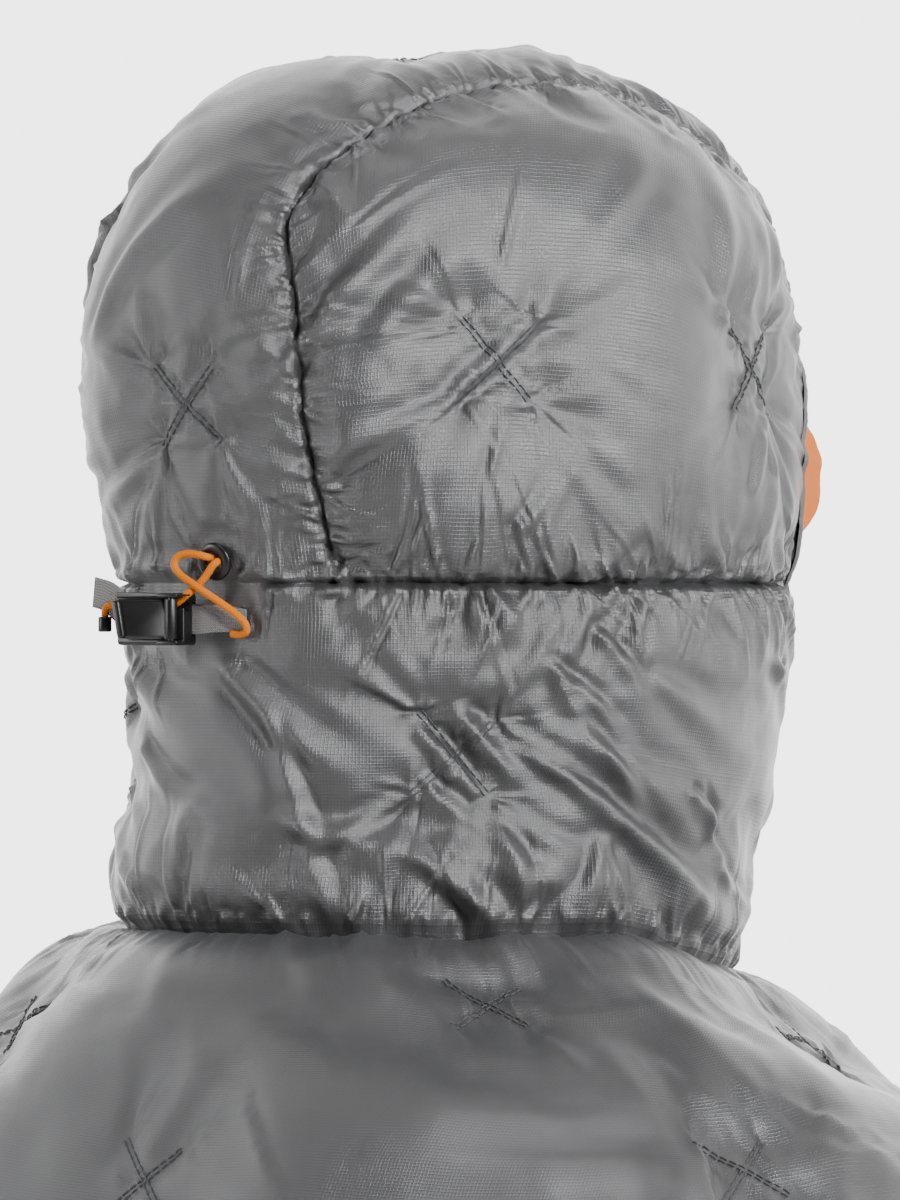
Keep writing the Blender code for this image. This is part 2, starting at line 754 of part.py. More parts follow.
UPPER_STRAND = (
    (0.0098, 0.0198, 0.0010), (0.0100, 0.0200, 0.0026), (0.0122, 0.0206, 0.0038), (0.0165, 0.0206, 0.0039),
    (0.0200, 0.0192, 0.0044), (0.0203, 0.0166, 0.0054), (0.0172, 0.0144, 0.0068), (0.0132, 0.0122, 0.0078),
    (0.0098, 0.0101, 0.0081), (0.0066, 0.0082, 0.0074), (0.0026, 0.0058, 0.0054), (-0.0012, 0.0034, 0.0038), (-0.0034, 0.0005, 0.0030),
    (-0.0032, -0.0026, 0.0026),
)
LOWER_STRAND = (
    (0.0071, 0.0188, 0.0010), (0.0070, 0.0184, 0.0027), (0.0076, 0.0164, 0.0038), (0.0090, 0.0128, 0.0037),
    (0.0104, 0.0090, 0.0048), (0.0122, 0.0058, 0.0070), (0.0144, 0.0043, 0.0083), (0.0170, 0.0042, 0.0084),
    (0.0300, 0.0042, 0.0084), (0.0415, 0.0042, 0.0084), (0.0445, 0.0044, 0.0084), (0.0468, 0.0034, 0.0084),
    (0.0474, 0.0012, 0.0084),
)
HOOD_SWELL = 0.0023  # how far the hood stands out at the eyelet, over the anchor
LOCK_LOW = (0.0160, -0.0085, 0.0022)
LOCK_HIGH = (0.0415, 0.0085, 0.0108)
PIN_AT = (0.0195, 0.0126)
PIN_RADIUS = 0.0010
PIN_GAP = 0.00006
WEBBING_ROUTE = (
    (-0.0010, 0.0, 0.0012), (0.0030, 0.0, 0.0014), (0.0080, 0.0, 0.0026), (0.0130, 0.0, 0.0042),
    (0.0160, 0.0, 0.0043), (0.0415, 0.0, 0.0043), (0.0450, 0.0012, 0.0044), (0.0490, 0.0040, 0.0050),
    (0.0530, 0.0078, 0.0058),
)


def adjuster(place):
    """Eyelet, webbing, cord lock, the two cord strands and the end stopper."""

    def at(x, y, z):
        return place @ Vector((x, y, z))

    eye = np.array(at(EYELET_ALONG, EYELET_ABOVE, 0))
    heading = eye - np.array([0, 0, 0.15])
    eye = Vector(cast(np.array([0, 0, 0.15]), heading / np.linalg.norm(heading)))
    out = Vector(hood_normal(np.array(eye)))
    rod("eyelet", eye + out * 0.0009, eye + out * 0.0021, EYELET_OUTER, black_plastic(), 32, EYELET_HOLE)

    route = np.array(WEBBING_ROUTE)
    ahead = np.gradient(route, axis=0)
    half = WEBBING_WIDTH / 2
    corners = []
    for across, lift in ((-half, -0.5), (half, -0.5), (half, 0.5), (-half, 0.5)):
        level = np.stack([-ahead[:, 1], ahead[:, 0], 0 * ahead[:, 0]], axis=1)
        level /= np.linalg.norm(level, axis=1, keepdims=True)
        raised = np.cross(ahead, level)
        raised /= np.linalg.norm(raised, axis=1, keepdims=True)
        track = route + level * across + raised * lift * WEBBING_THICK
        corners.append(np.array([tuple(at(*p)) for p in track]))
    sweep_mesh("adjuster_webbing", corners, grey_webbing())

    lock = box("cord_lock_body", LOCK_LOW, LOCK_HIGH, place)
    pin_x, pin_z = PIN_AT
    cheeks = []
    for side in (-1, 1):
        low, high = sorted((side * 0.0068, side * 0.0085))
        cheeks.append(box("cheek", (0.0160, low, 0.0100), (0.0235, high, 0.0146), place))
    combine(lock, cheeks, "UNION")
    slot = box("slot", (0.0100, -0.0053, 0.0035), (0.0450, 0.0053, 0.0051), place)
    bore = rod("bore", at(0.0100, 0.0042, 0.0084), at(0.0450, 0.0042, 0.0084), 0.00160, black_plastic(), 24)
    seat = box("seat", (0.0150, -0.0068, 0.0103), (0.0430, 0.0068, 0.0200), place)
    pin_hole = rod("hole", at(pin_x, -0.02, pin_z), at(pin_x, 0.02, pin_z), PIN_RADIUS + PIN_GAP, black_plastic(), 24)
    combine(lock, [slot, bore, seat, pin_hole], "DIFFERENCE")
    lock.data.materials.append(black_plastic())
    rod("cord_lock_pin", at(pin_x, -0.0085, pin_z), at(pin_x, 0.0085, pin_z), PIN_RADIUS, steel(), 24)

    lever = rod("cord_lock_lever", at(pin_x, -0.0064, pin_z), at(pin_x, 0.0064, pin_z), 0.0021, black_plastic(), 24)
    plate = box("plate", (0.0195, -0.0064, 0.0112), (0.0405, 0.0064, 0.0136), place)
    grip = box("grip", (0.0375, -0.0064, 0.0130), (0.0405, 0.0064, 0.0146), place)
    combine(lever, [plate, grip], "UNION")
    turn_hole = rod("hole", at(pin_x, -0.02, pin_z), at(pin_x, 0.02, pin_z), PIN_RADIUS + PIN_GAP, black_plastic(), 24)
    combine(lever, [turn_hole], "DIFFERENCE")
    lever.data.materials.append(black_plastic())
    set_origin(lever, at(pin_x, 0, pin_z))

    def over_hood(x, y, z):
        return at(x, y, z + HOOD_SWELL * min(1, max(0, (y - 0.006) / 0.013)))

    cord("adjuster_cord_upper", smooth_route([over_hood(*p) for p in UPPER_STRAND], 60), orange_cord())
    cord("adjuster_cord_lower", smooth_route([over_hood(*p) for p in LOWER_STRAND], 60), orange_cord())
    rod("cord_end_stopper", at(0.0474, 0.0008, 0.0084), at(0.0474, -0.0042, 0.0084), 0.0022, black_plastic(), 24)


def nape_drawcord():
    shares = np.linspace(-0.70, 0.70, 64)
    points = section_point(HOOD_SECTIONS, shares, np.array(NAPE_HEIGHT))
    inward = level_normal(hood_normal(points))
    route = points - inward * (SHELL + 0.0005 + CORD_RADIUS)
    cord("nape_drawcord", [Vector(p) for p in route], orange_cord())


clear_scene()
centre = three_layers("hood_centre", centre_panel(15, 7))
left = three_layers("hood_left", side_panel(1, 10, 11))
right = three_layers("hood_right", side_panel(-1, 10, 11))
neck = three_layers("neck", neck_panel(4, 18))
body = three_layers("body", body_panel(18))
face_binding(centre, left, right, neck)
edge_band("hem_binding", body[0][-1], body[1][-1], np.array([0, 0, -1.0]), shell_cloth())
nape_drawcord()
chain = zip_line(neck, body)
zip_sides(chain)
zip_stops(chain)
throat = zip_place(chain, 0, 1, False, -SLIDER_LENGTH - RUN_GAP)
zip_slider("zip_top_slider", throat, 12)
foot = zip_place(chain, -2, -1, True, RUN_GAP)
zip_slider("zip_bottom_slider", foot, 0)
adjuster(adjuster_place())
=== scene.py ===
import json
import math
import bpy
import numpy as np
from mathutils import Matrix, Vector
from mathutils.bvhtree import BVHTree
from mathutils.kdtree import KDTree

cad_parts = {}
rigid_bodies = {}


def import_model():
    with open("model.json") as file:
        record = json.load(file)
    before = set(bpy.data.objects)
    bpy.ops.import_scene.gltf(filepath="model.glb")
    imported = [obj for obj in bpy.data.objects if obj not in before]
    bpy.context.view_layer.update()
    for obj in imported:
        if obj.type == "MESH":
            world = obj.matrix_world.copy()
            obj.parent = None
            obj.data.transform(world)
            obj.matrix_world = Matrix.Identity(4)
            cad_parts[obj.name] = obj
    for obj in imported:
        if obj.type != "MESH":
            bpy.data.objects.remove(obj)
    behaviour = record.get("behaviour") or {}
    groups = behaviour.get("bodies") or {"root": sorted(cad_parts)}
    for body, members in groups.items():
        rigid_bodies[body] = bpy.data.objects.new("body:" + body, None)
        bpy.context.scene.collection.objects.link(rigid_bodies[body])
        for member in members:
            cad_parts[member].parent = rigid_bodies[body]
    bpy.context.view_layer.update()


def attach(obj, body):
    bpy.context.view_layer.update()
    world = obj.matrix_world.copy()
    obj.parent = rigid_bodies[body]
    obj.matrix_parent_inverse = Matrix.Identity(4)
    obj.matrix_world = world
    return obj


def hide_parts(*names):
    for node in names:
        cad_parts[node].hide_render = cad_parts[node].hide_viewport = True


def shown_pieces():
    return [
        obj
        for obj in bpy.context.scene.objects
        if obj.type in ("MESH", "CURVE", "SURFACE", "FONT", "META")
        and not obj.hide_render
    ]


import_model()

rng = np.random.default_rng(11)
scene = bpy.context.scene

# same sections as the CAD: height, half width, back, front
hoodRows = [(-.03, .104, .118, .098), (0, .1, .115, .102), (.055, .1005, .114, .116),
            (.111, .101, .115, .128), (.175, .105, .13, .131)]
bodyRows = [(0, .1, .115, .102), (-.02, .135, .138, .118), (-.05, .188, .163, .138),
            (-.09, .232, .182, .156), (-.15, .262, .193, .172), (-.25, .274, .197, .184),
            (-.45, .272, .193, .1877), (-.9, .262, .196, .196), (-1.33, .255, .204, .204)]
hood = {"top": .291, "wide": .175, "round": 2.3, "nape": .111, "half": .052, "flare": .004}
face = {"mid": .135, "w": .066, "h": .08, "round": 2.3}
zipHalf = .009
drop = 1.33
headMid = .15  # height that the hood's points are cast from


def curveThrough(rows, col, z):
    pts = sorted((r[0], r[col]) for r in rows)
    h = np.array([p[0] for p in pts])
    v = np.array([p[1] for p in pts])
    m = np.gradient(v, h)
    if rows is hoodRows:
        m[-1] = 0
    z = np.clip(z, h[0], h[-1])
    i = np.clip(np.searchsorted(h, z) - 1, 0, len(h) - 2)
    d = h[i + 1] - h[i]
    t = (z - h[i]) / d
    return (v[i] * (2 * t**3 - 3 * t**2 + 1) + m[i] * d * (t**3 - 2 * t**2 + t)
            + v[i + 1] * (3 * t**2 - 2 * t**3) + m[i + 1] * d * (t**3 - t**2))


def ring(rows, z):
    w, b, f = (curveThrough(rows, c, z) for c in (1, 2, 3))
    return w, (b - f) / 2, (b + f) / 2


def hoodLevel(p):
    w, mid, dep = ring(hoodRows, np.minimum(p[..., 2], hood["wide"]))
    flat = (p[..., 0] / w) ** 2 + ((p[..., 1] - mid) / dep) ** 2
    up = np.clip((p[..., 2] - hood["wide"]) / (hood["top"] - hood["wide"]), 0, None)
    return flat ** (hood["round"] / 2) + up ** hood["round"] - 1


def cast(start, ray):
    a = np.zeros(np.shape(ray)[:-1])
    b = a + .4
    for _ in range(40):
        m = (a + b) / 2
        inside = hoodLevel(start + ray * m[..., None]) < 0
        a, b = np.where(inside, m, a), np.where(inside, b, m)
    return start + ray * a[..., None]


def frontPoint(x, z):
    w, mid, dep = ring(hoodRows, np.minimum(z, hood["wide"]))
    up = np.clip((z - hood["wide"]) / (hood["top"] - hood["wide"]), 0, 1)
    s = (1 - up ** hood["round"]) ** (1 / hood["round"])
    return np.stack([x, mid - dep * s * np.sqrt(np.clip(1 - (x / (w * s)) ** 2, 0, 1)), z], axis=-1)


def faceRim(turn):
    k = 2 / face["round"]
    c, s = np.cos(turn), np.sin(turn)
    x = face["w"] * np.sign(c) * np.abs(c) ** k
    return frontPoint(x, face["mid"] + face["h"] * np.sign(s) * np.abs(s) ** k)


def rimTurn(z=None, x=None):
    if x is not None:
        return math.acos((x / face["w"]) ** (face["round"] / 2))
    s = (z - face["mid"]) / face["h"]
    return math.asin(math.copysign(abs(s) ** (face["round"] / 2), s))


def even(pts, n):
    pts = np.asarray(pts)
    along = runLength(pts)
    stops = np.linspace(0, along[-1], n)
    return np.stack([np.interp(stops, along, pts[:, k]) for k in range(3)], axis=1)


def smooth(t):
    t = np.clip(t, 0, 1)
    return t * t * (3 - 2 * t)


def unit(v):
    return v / np.linalg.norm(v, axis=-1, keepdims=True)


def runLength(pts):
    return np.concatenate([[0], np.cumsum(np.linalg.norm(np.diff(pts, axis=0), axis=1))])


def treeOf(pts):
    tree = KDTree(len(pts))
    for k, p in enumerate(pts):
        tree.insert(p, k)
    tree.balance()
    return tree


# cloth grids that share their seam points
cells = {"top": 96, "side": 76, "centre": 46, "front": 26, "neck": 46, "body": 84}
nT, nS, nC, nF, nN, nB = (cells[k] for k in ("top", "side", "centre", "front", "neck", "body"))
nCol = 2 * nF + 2 * nT + nC

verts = []


def addPoint(p):
    verts.append(tuple(p))
    return len(verts) - 1


def coons(left, right, lower, top):
    s = np.linspace(0, 1, len(lower))[None, :, None]
    t = np.linspace(0, 1, len(left))[:, None, None]
    return ((1 - t) * lower[None] + t * top[None] + (1 - s) * left[:, None] + s * right[:, None]
            - (1 - s) * (1 - t) * lower[0] - s * (1 - t) * lower[-1] - (1 - s) * t * top[0] - s * t * top[-1])


# seam between the hood's middle strip and a side, forehead to nape
v = np.linspace(0, 1, 500)
halfAt = np.interp(v, (0, .1, .21, .33, .47, .53, .59, .64, .67, .70, .73, .80, 1),
                   (.052, .0565, .0585, .058, .0548, .0535, .0506, .0462, .0452, .0490, .0540, .0575, .0565))
halfAt = np.convolve(np.pad(halfAt, 6, mode="edge"), np.ones(13) / 13, "valid")
a0 = faceRim(rimTurn(x=hood["half"]))
a0 = math.atan2(a0[2] - headMid, a0[1])
w, mid, dep = ring(hoodRows, hood["nape"])
a1 = math.atan2(hood["nape"] - headMid, mid + dep * math.sqrt(1 - (halfAt[-1] / w) ** 2))
ang = a0 + (a1 - a0) * v
seamLine = cast(np.stack([halfAt, 0 * v, 0 * v + headMid], -1),
                np.stack([0 * v, np.cos(ang), np.sin(ang)], -1))
seamSteps = np.linalg.norm(np.diff(seamLine, axis=0), axis=1)
cut = int(np.searchsorted(np.cumsum(seamSteps) / seamSteps.sum(), .55))
seamTop = even(seamLine[:cut + 1], nT + 1)
seamBack = even(seamLine[cut:], nS + 1)
rim = faceRim(np.linspace(rimTurn(z=hood["nape"]), rimTurn(x=hood["half"]), 80))
rim[-1] = seamLine[0]
turn = np.linspace(math.asin(seamLine[-1, 0] / w), math.pi - math.asin(rim[0, 0] / w), 300)
base = np.stack([w * np.sin(turn), mid + dep * np.cos(turn), 0 * turn + hood["nape"]], -1)
sideGrid = coons(seamBack[::-1], even(rim, nS + 1), even(base, nT + 1), seamTop[::-1])
head = np.array([0, 0, headMid])
ray = unit(sideGrid - head)
sideGrid[1:-1, 1:-1] = cast(head + 0 * ray, ray)[1:-1, 1:-1]

sideL = np.array([[addPoint(p) for p in row] for row in sideGrid])
sideR = np.array([[addPoint(p) for p in row] for row in sideGrid * np.array([-1, 1, 1])])

# middle strip, forehead to nape
seamAll = np.vstack([seamTop, seamBack[1:]])
seamAng = np.arctan2(seamAll[:, 2] - headMid, seamAll[:, 1])
strip = np.zeros((nT + nS + 1, nC + 1), int)
for r in range(nT + nS + 1):
    k = (nS, nT - r) if r <= nT else (nS - (r - nT), 0)
    strip[r, nC] = sideL[k]
    strip[r, 0] = sideR[k]
share = np.linspace(0, 1, nT + nS + 1)
for c in range(1, nC):
    u = 2 * c / nC - 1
    x = u * seamAll[:, 0]
    tip = faceRim(rimTurn(x=abs(x[0])) if u > 0 else math.pi - rimTurn(x=max(abs(x[0]), 1e-9)))
    foot = math.atan2(hood["nape"] - headMid, mid + dep * math.sqrt(1 - (x[-1] / w) ** 2))
    a = seamAng + (math.atan2(tip[2] - headMid, tip[1]) - seamAng[0]) * (1 - share)
    a = a + (foot - seamAng[-1]) * share
    pts = cast(np.stack([x, 0 * x, 0 * x + headMid], -1), np.stack([0 * x, np.cos(a), np.sin(a)], -1))
    for r in range(nT + nS + 1):
        strip[r, c] = addPoint(pts[r])

# neck and body columns run from the right front edge round the back to the left one
lay = np.array(verts)
napeIds = list(sideR[0, ::-1]) + list(strip[-1, 1:nC]) + list(sideL[0])
topTurn = [math.atan2(lay[i][0] / w, (lay[i][1] - mid) / dep) for i in napeIds]
edge = math.pi - math.asin(zipHalf / w)
frontTurn = np.linspace(topTurn[-1], edge, nF + 1)[1:]
turns = np.concatenate([-frontTurn[::-1], topTurn, frontTurn])
shares = turns / edge


def seamDrop(y):
    below = np.clip(.02 - y, 0, None)
    return -.18 * below * np.clip(below / .04, 0, 1)


neck = np.zeros((nN + 1, nCol + 1), int)
for c, t in enumerate(turns):
    _, m0, d0 = ring(hoodRows, 0.0)
    low = float(seamDrop(m0 + d0 * math.cos(t)))
    top = hood["nape"]
    atFront = c < nF or c > nCol - nF
    if atFront:
        for _ in range(12):
            x = abs(ring(hoodRows, top)[0] * math.sin(t))
            rise = (1 - min(1, x / face["w"]) ** face["round"]) ** (1 / face["round"])
            top = face["mid"] - face["h"] * rise
    z = np.linspace(low, top, nN + 1)
    wz, mz, dz = ring(hoodRows, z)
    col = np.stack([wz * math.sin(t), mz + dz * math.cos(t), z], -1)
    for r in range(nN + 1):
        if r == nN and not atFront:
            neck[r, c] = napeIds[c - nF]
        else:
            neck[r, c] = addPoint(col[r])

along = np.linspace(0, 1, nB + 1)
drops = drop * (.28 * along + .72 * along**2.1)
body = np.zeros((nB + 1, nCol + 1), int)
body[0] = neck[0]
evenTurn = np.linspace(-1, 1, nCol + 1)
for c in range(nCol + 1):
    for r in range(1, nB + 1):
        d = drops[r]
        blendTo = smooth(d / .25)
        s = shares[c] * (1 - blendTo) + evenTurn[c] * blendTo
        wb, mb, db = ring(bodyRows, -d)
        t = s * (math.pi - math.asin(zipHalf / wb))
        calm = min(1, max(0, (1 - abs(s)) / .18))
        fold = .012 / .23 * min(1, max(0, (d - .15) / .8)) * math.cos(9 * t) * calm**3 * (3 - 2 * calm)
        y0 = verts[neck[0, c]][1]
        body[r, c] = addPoint((wb * math.sin(t) * (1 + fold), mb + db * math.cos(t) * (1 + fold),
                               -d + float(seamDrop(y0)) * max(0, 1 - d / .2)))
lay = np.array(verts)
print("cloth points", len(lay))


def quadsOf(grid):
    a, b, c, d = grid[:-1, :-1], grid[:-1, 1:], grid[1:, 1:], grid[1:, :-1]
    return np.stack([a, b, c, d], -1).reshape(-1, 4)


panels = {"hood_left": sideL, "hood_right": sideR, "hood_centre": strip, "neck": neck, "body": body}
for name, grid in panels.items():
    r, c = grid.shape[0] // 2, grid.shape[1] // 3
    q = lay[[grid[r, c], grid[r, c + 1], grid[r + 1, c + 1]]]
    n = np.cross(q[1] - q[0], q[2] - q[0])
    if np.dot(n, q[0] - np.array([0, 0, q[0][2]])) < 0:
        panels[name] = grid[:, ::-1]

allQuads = np.vstack([quadsOf(g) for g in panels.values()])


def makeMesh(name, pts, quads):
    mesh = bpy.data.meshes.new(name)
    mesh.from_pydata([tuple(p) for p in pts], [], [tuple(int(i) for i in q) for q in quads])
    mesh.update()
    obj = bpy.data.objects.new(name, mesh)
    scene.collection.objects.link(obj)
    return obj


whole = makeMesh("clothRun", lay, allQuads)
normals = np.zeros(len(lay) * 3)
whole.data.vertices.foreach_get("normal", normals)
normals = normals.reshape(-1, 3)

# lines that hold the layers together: seams and cross tacks
stripSeams = list(strip[:, 0]) + list(strip[:, -1])
napeSeam = list(neck[-1, nF:nCol - nF + 1])
neckSeam = list(neck[0])
rims = list(sideL[:, -1]) + list(sideR[:, -1]) + list(strip[0])
rims += list(neck[-1, :nF + 1]) + list(neck[-1, -nF - 1:])
frontEdges = list(neck[:, 0]) + list(neck[:, -1]) + list(body[:, 0]) + list(body[:, -1])
hem = list(body[-1])

seen = treeOf(lay)


def nearest(p):
    return seen.find(p)[1]


kept = set(stripSeams + napeSeam + neckSeam + rims + frontEdges + hem)

# where the cross tacks sit
tackSpots = [(-.0956, .0532, .1814), (-.0922, -.0628, .1823), (-.0184, .1276, .1687), (-.0831, .0633, .0554)]
tackSpots += [(-x, y, z) for x, y, z in tackSpots if abs(x) > .05]
tackSpots += [(.060, .100, .060), (0, .02, .290), (.0, -.05, .285)]
tackSpots += [(-.1159, .0788, -.0218), (.0606, .1351, -.0309), (-.208, .0487, -.073), (-.0529, .1719, -.0785),
              (.115, .118, -.062), (.195, .015, -.06), (.125, -.055, -.024), (-.125, -.058, -.026),
              (-.175, -.100, -.085), (.075, -.135, -.06), (.180, -.1, -.09)]
tackLeg = .0185
for row, z in enumerate((-.15, -.27, -.40, -.54, -.68, -.82, -.96, -1.10, -1.24)):
    for k in range(10):
        t = -math.pi + (k + .5 * (row % 2) + .35) * 2 * math.pi / 10
        if abs(t) > 2.85:
            continue
        wb, mb, db = ring(bodyRows, z)
        tackSpots.append((wb * math.sin(t), mb + db * math.cos(t), z))

tackIds, tacks = [], []
for spot in tackSpots:
    i = nearest(spot)
    mid0, n = Vector(lay[i]), Vector(normals[i]).normalized()
    side = Vector((0, 0, 1)).cross(n)
    if side.length < .3:
        side = Vector((1, 0, 0))
    side.normalize()
    up = n.cross(side).normalized()
    turnBy = math.radians(float(rng.uniform(-7, 7)))
    legs = []
    for lean in (47, -44):
        d = (math.cos(math.radians(lean)) * side + math.sin(math.radians(lean)) * up)
        d = Matrix.Rotation(turnBy, 3, n) @ d
        legs.append(d)
        for s in np.linspace(-tackLeg, tackLeg, 17):
            goal = mid0 + d * float(s)
            k = nearest(goal)
            shift = np.array(goal) - lay[k]
            shift -= normals[k] * np.dot(shift, normals[k])
            if np.linalg.norm(shift) < .0022 and k not in kept:
                lay[k] += shift * .85
            tackIds.append(k)
    tacks.append((i, n, legs))
tackIds = sorted(set(tackIds))
print("tacks", len(tacks), "tack points", len(tackIds))


def distanceTo(ids):
    tree = treeOf(lay[ids])
    return np.array([tree.find(p)[2] for p in lay])


dSeam = distanceTo(stripSeams)
dNape = distanceTo(napeSeam)
dNeck = distanceTo(neckSeam)
dRim = distanceTo(rims + frontEdges + hem)
dTack = distanceTo(tackIds)

# adjuster frame: x along the webbing, y up, z off the hood
wA, mA, dA = ring(hoodRows, .0995)
tA = math.asin(-.029 / wA)
anchor = Vector((-.029, mA + dA * math.cos(tA), .0995))
axX = Vector((wA * math.cos(tA), -dA * math.sin(tA), 0)).normalized()
axZ = Vector((0, 0, 1)).cross(axX)
place = Matrix(((axX.x, 0, axZ.x, anchor.x), (axX.y, 0, axZ.y, anchor.y),
                (axX.z, 1, axZ.z, anchor.z), (0, 0, 0, 1)))


def at(x, y, z):
    return place @ Vector((x, y, z))


local = (np.c_[lay, np.ones(len(lay))] @ np.array(place.inverted()).T)[:, :3]
# how far a point is from the lock and webbing, and from the middle of the eyelet
eyeSpot = (.0084, .0194)
toLock = np.hypot(np.clip(np.abs(local[:, 0] - .02) - .024, 0, None),
                  np.clip(np.abs(local[:, 1] - .002) - .009, 0, None))
toEye = np.hypot(local[:, 0] - eyeSpot[0], local[:, 1] - eyeSpot[1])
kit = np.maximum(smooth(1 - toLock / .008), smooth(1 - (toEye - .008) / .006))
kit = np.where(np.abs(local[:, 2]) < .03, kit, 0)

# small gathers that run off the seams and tacks
def waves(s, lengths, seed):
    r = np.random.default_rng(seed)
    total = np.zeros_like(s)
    for k in lengths:
        small = np.sin(2 * math.pi * s / k + r.uniform(0, 6.28))
        total += small * (.6 + .4 * np.sin(2 * math.pi * s / (k * 7.3) + r.uniform(0, 6.28)))
    return total / len(lengths)


def alongLine(ids):
    # for every point, its distance from a seam and the length along it
    tree = treeOf(lay[ids])
    near = [tree.find(p)[1:] for p in lay]
    return np.array([n[1] for n in near]), runLength(lay[ids])[np.array([n[0] for n in near])]


def gathers(ids, lengths, reach, seed):
    d, s = alongLine(ids)
    slant = waves(s, (.08, .13), seed + 5) * .8
    fall = reach * (1 + .7 * waves(s, (.021, .034), seed + 9))
    lobes = np.abs(waves(s + slant * d, lengths, seed)) * 1.7 - .6
    return lobes * np.exp(-d / np.maximum(fall, .003))


gather = np.zeros(len(lay))
gather += gathers(list(strip[:, 0]), (.006, .0085, .013), .012, 1)
gather += gathers(list(strip[:, -1]), (.006, .0085, .013), .012, 2)
gather += gathers(napeSeam, (.0065, .009, .014), .013, 3)
gather += .8 * gathers(neckSeam, (.008, .013, .021), .016, 4)
for i, n, legs in tacks:
    rel = lay - lay[i]
    far = np.linalg.norm(rel, axis=1)
    close = far < .075
    u, w2 = rel[close] @ np.array(legs[0]), rel[close] @ np.array(legs[1])
    ends = np.zeros(close.sum())
    for leg, c in ((legs[0], u), (legs[1], w2)):
        for sgn in (-1, 1):
            tip = np.array(leg) * tackLeg * sgn
            q = rel[close] - tip
            dist = np.linalg.norm(q, axis=1)
            outDir = np.array(leg) * sgn
            sideDir = np.cross(np.array(n), outDir)
            ang2 = np.arctan2(q @ sideDir, q @ outDir)
            spoke = np.abs(np.sin(ang2 * rng.uniform(2.2, 3.2) + rng.uniform(0, 3))) * 1.5 - .7
            ends += spoke * np.exp(-dist / .011) * smooth(dist / .004)
    gather[close] += ends * .9
gather *= 1 - kit

# longer folds that start at the tacks and seams
folds = np.zeros(len(lay))


def addFold(origin, way, n, length, width, high):
    n = np.asarray(n, float)
    way = np.asarray(way, float) - n * np.dot(way, n)
    way /= np.linalg.norm(way)
    cross = np.cross(n, way)
    rel = lay - np.asarray(origin)
    near = np.linalg.norm(rel, axis=1) < length * 1.15
    a = rel[near] @ way / length
    bend = .12 * length * math.sin(high * 9000) * np.clip(a, 0, 1) ** 2
    b = (rel[near] @ cross - bend) / (width * (.55 + .9 * np.clip(a, 0, 1)))
    body2 = np.exp(-b**2) - .55 * np.exp(-(b - 1.9) ** 2) - .55 * np.exp(-(b + 1.9) ** 2)
    folds[near] += high * body2 * smooth(a / .18) * smooth((1 - a) / .6)


def turned(way, n, degrees):
    return Matrix.Rotation(math.radians(float(degrees)), 3, Vector(n)) @ Vector(way)


for i, n, legs in tacks:
    for leg in legs:
        for sgn in (-1, 1):
            tip = lay[i] + np.array(leg) * tackLeg * sgn
            for spread in (rng.uniform(-34, -8), rng.uniform(8, 34), rng.uniform(-70, 70)):
                addFold(tip, turned(leg * sgn, n, spread), n, rng.uniform(.022, .068),
                        rng.uniform(.0022, .0042), rng.uniform(.0008, .0019))
seamFolds = ((list(strip[:, 0]), 34, (.012, .045), (.0005, .0014)),
             (list(strip[:, -1]), 34, (.012, .045), (.0005, .0014)),
             (napeSeam, 60, (.014, .055), (.0008, .0022)),
             (neckSeam, 44, (.015, .06), (.0006, .0018)))
for ids, count, span, tall in seamFolds:
    for k in range(count):
        j = int(rng.integers(2, len(ids) - 2))
        i = ids[j]
        alongIt = lay[ids[j + 1]] - lay[ids[j - 1]]
        n = normals[i]
        out = np.cross(n, alongIt) * rng.choice([-1, 1])
        addFold(lay[i], turned(out, n, rng.uniform(-42, 42)), n, rng.uniform(*span),
                rng.uniform(.0018, .0036), rng.uniform(*tall))
for zLow, zHigh, count, slope in ((.015, .095, 26, -36), (.13, .25, 14, 62), (-.15, -.02, 34, -18)):
    for i in rng.choice(np.flatnonzero((lay[:, 2] > zLow) & (lay[:, 2] < zHigh)), count):
        n = Vector(normals[i])
        level = Vector((0, 0, 1)).cross(n)
        if level.length > .2:
            addFold(lay[i], turned(level.normalized(), n, slope + rng.normal(0, 12)), n,
                    rng.uniform(.05, .11), rng.uniform(.0035, .006), rng.uniform(.0015, .0034))
folds = np.clip(folds, -.003, .0045) * (1 - kit)

depth = (.0065 * np.exp(-(dSeam / .008) ** 2) + .0085 * np.exp(-(dNape / .008) ** 2)
         + .006 * np.exp(-(dNeck / .008) ** 2) + .0058 * np.exp(-(dTack / .020) ** 2))
depth = np.minimum(depth, .011) * (1 - kit * .8)
depth = np.where(dRim < .004, depth * .4, depth)
noise = rng.normal(0, .00008, len(lay))
start = lay - normals * (depth + noise - .0008 * gather - folds)[:, None]

pins = np.zeros(len(lay))
for ids in (stripSeams, napeSeam, neckSeam, rims, frontEdges, hem, tackIds):
    pins[ids] = 1
pins = np.maximum(pins, np.where(kit > .95, 1, 0))
# cloth that is left over for the gathers, most of it at the seams
extra = np.clip(.10 + .5 * np.exp(-(dSeam / .014) ** 2) + .9 * np.exp(-(dNape / .016) ** 2)
                + .22 * np.exp(-(dTack / .014) ** 2) + .6 * np.exp(-(dNeck / .018) ** 2), 0, 1)
extra = extra * (1 - kit)

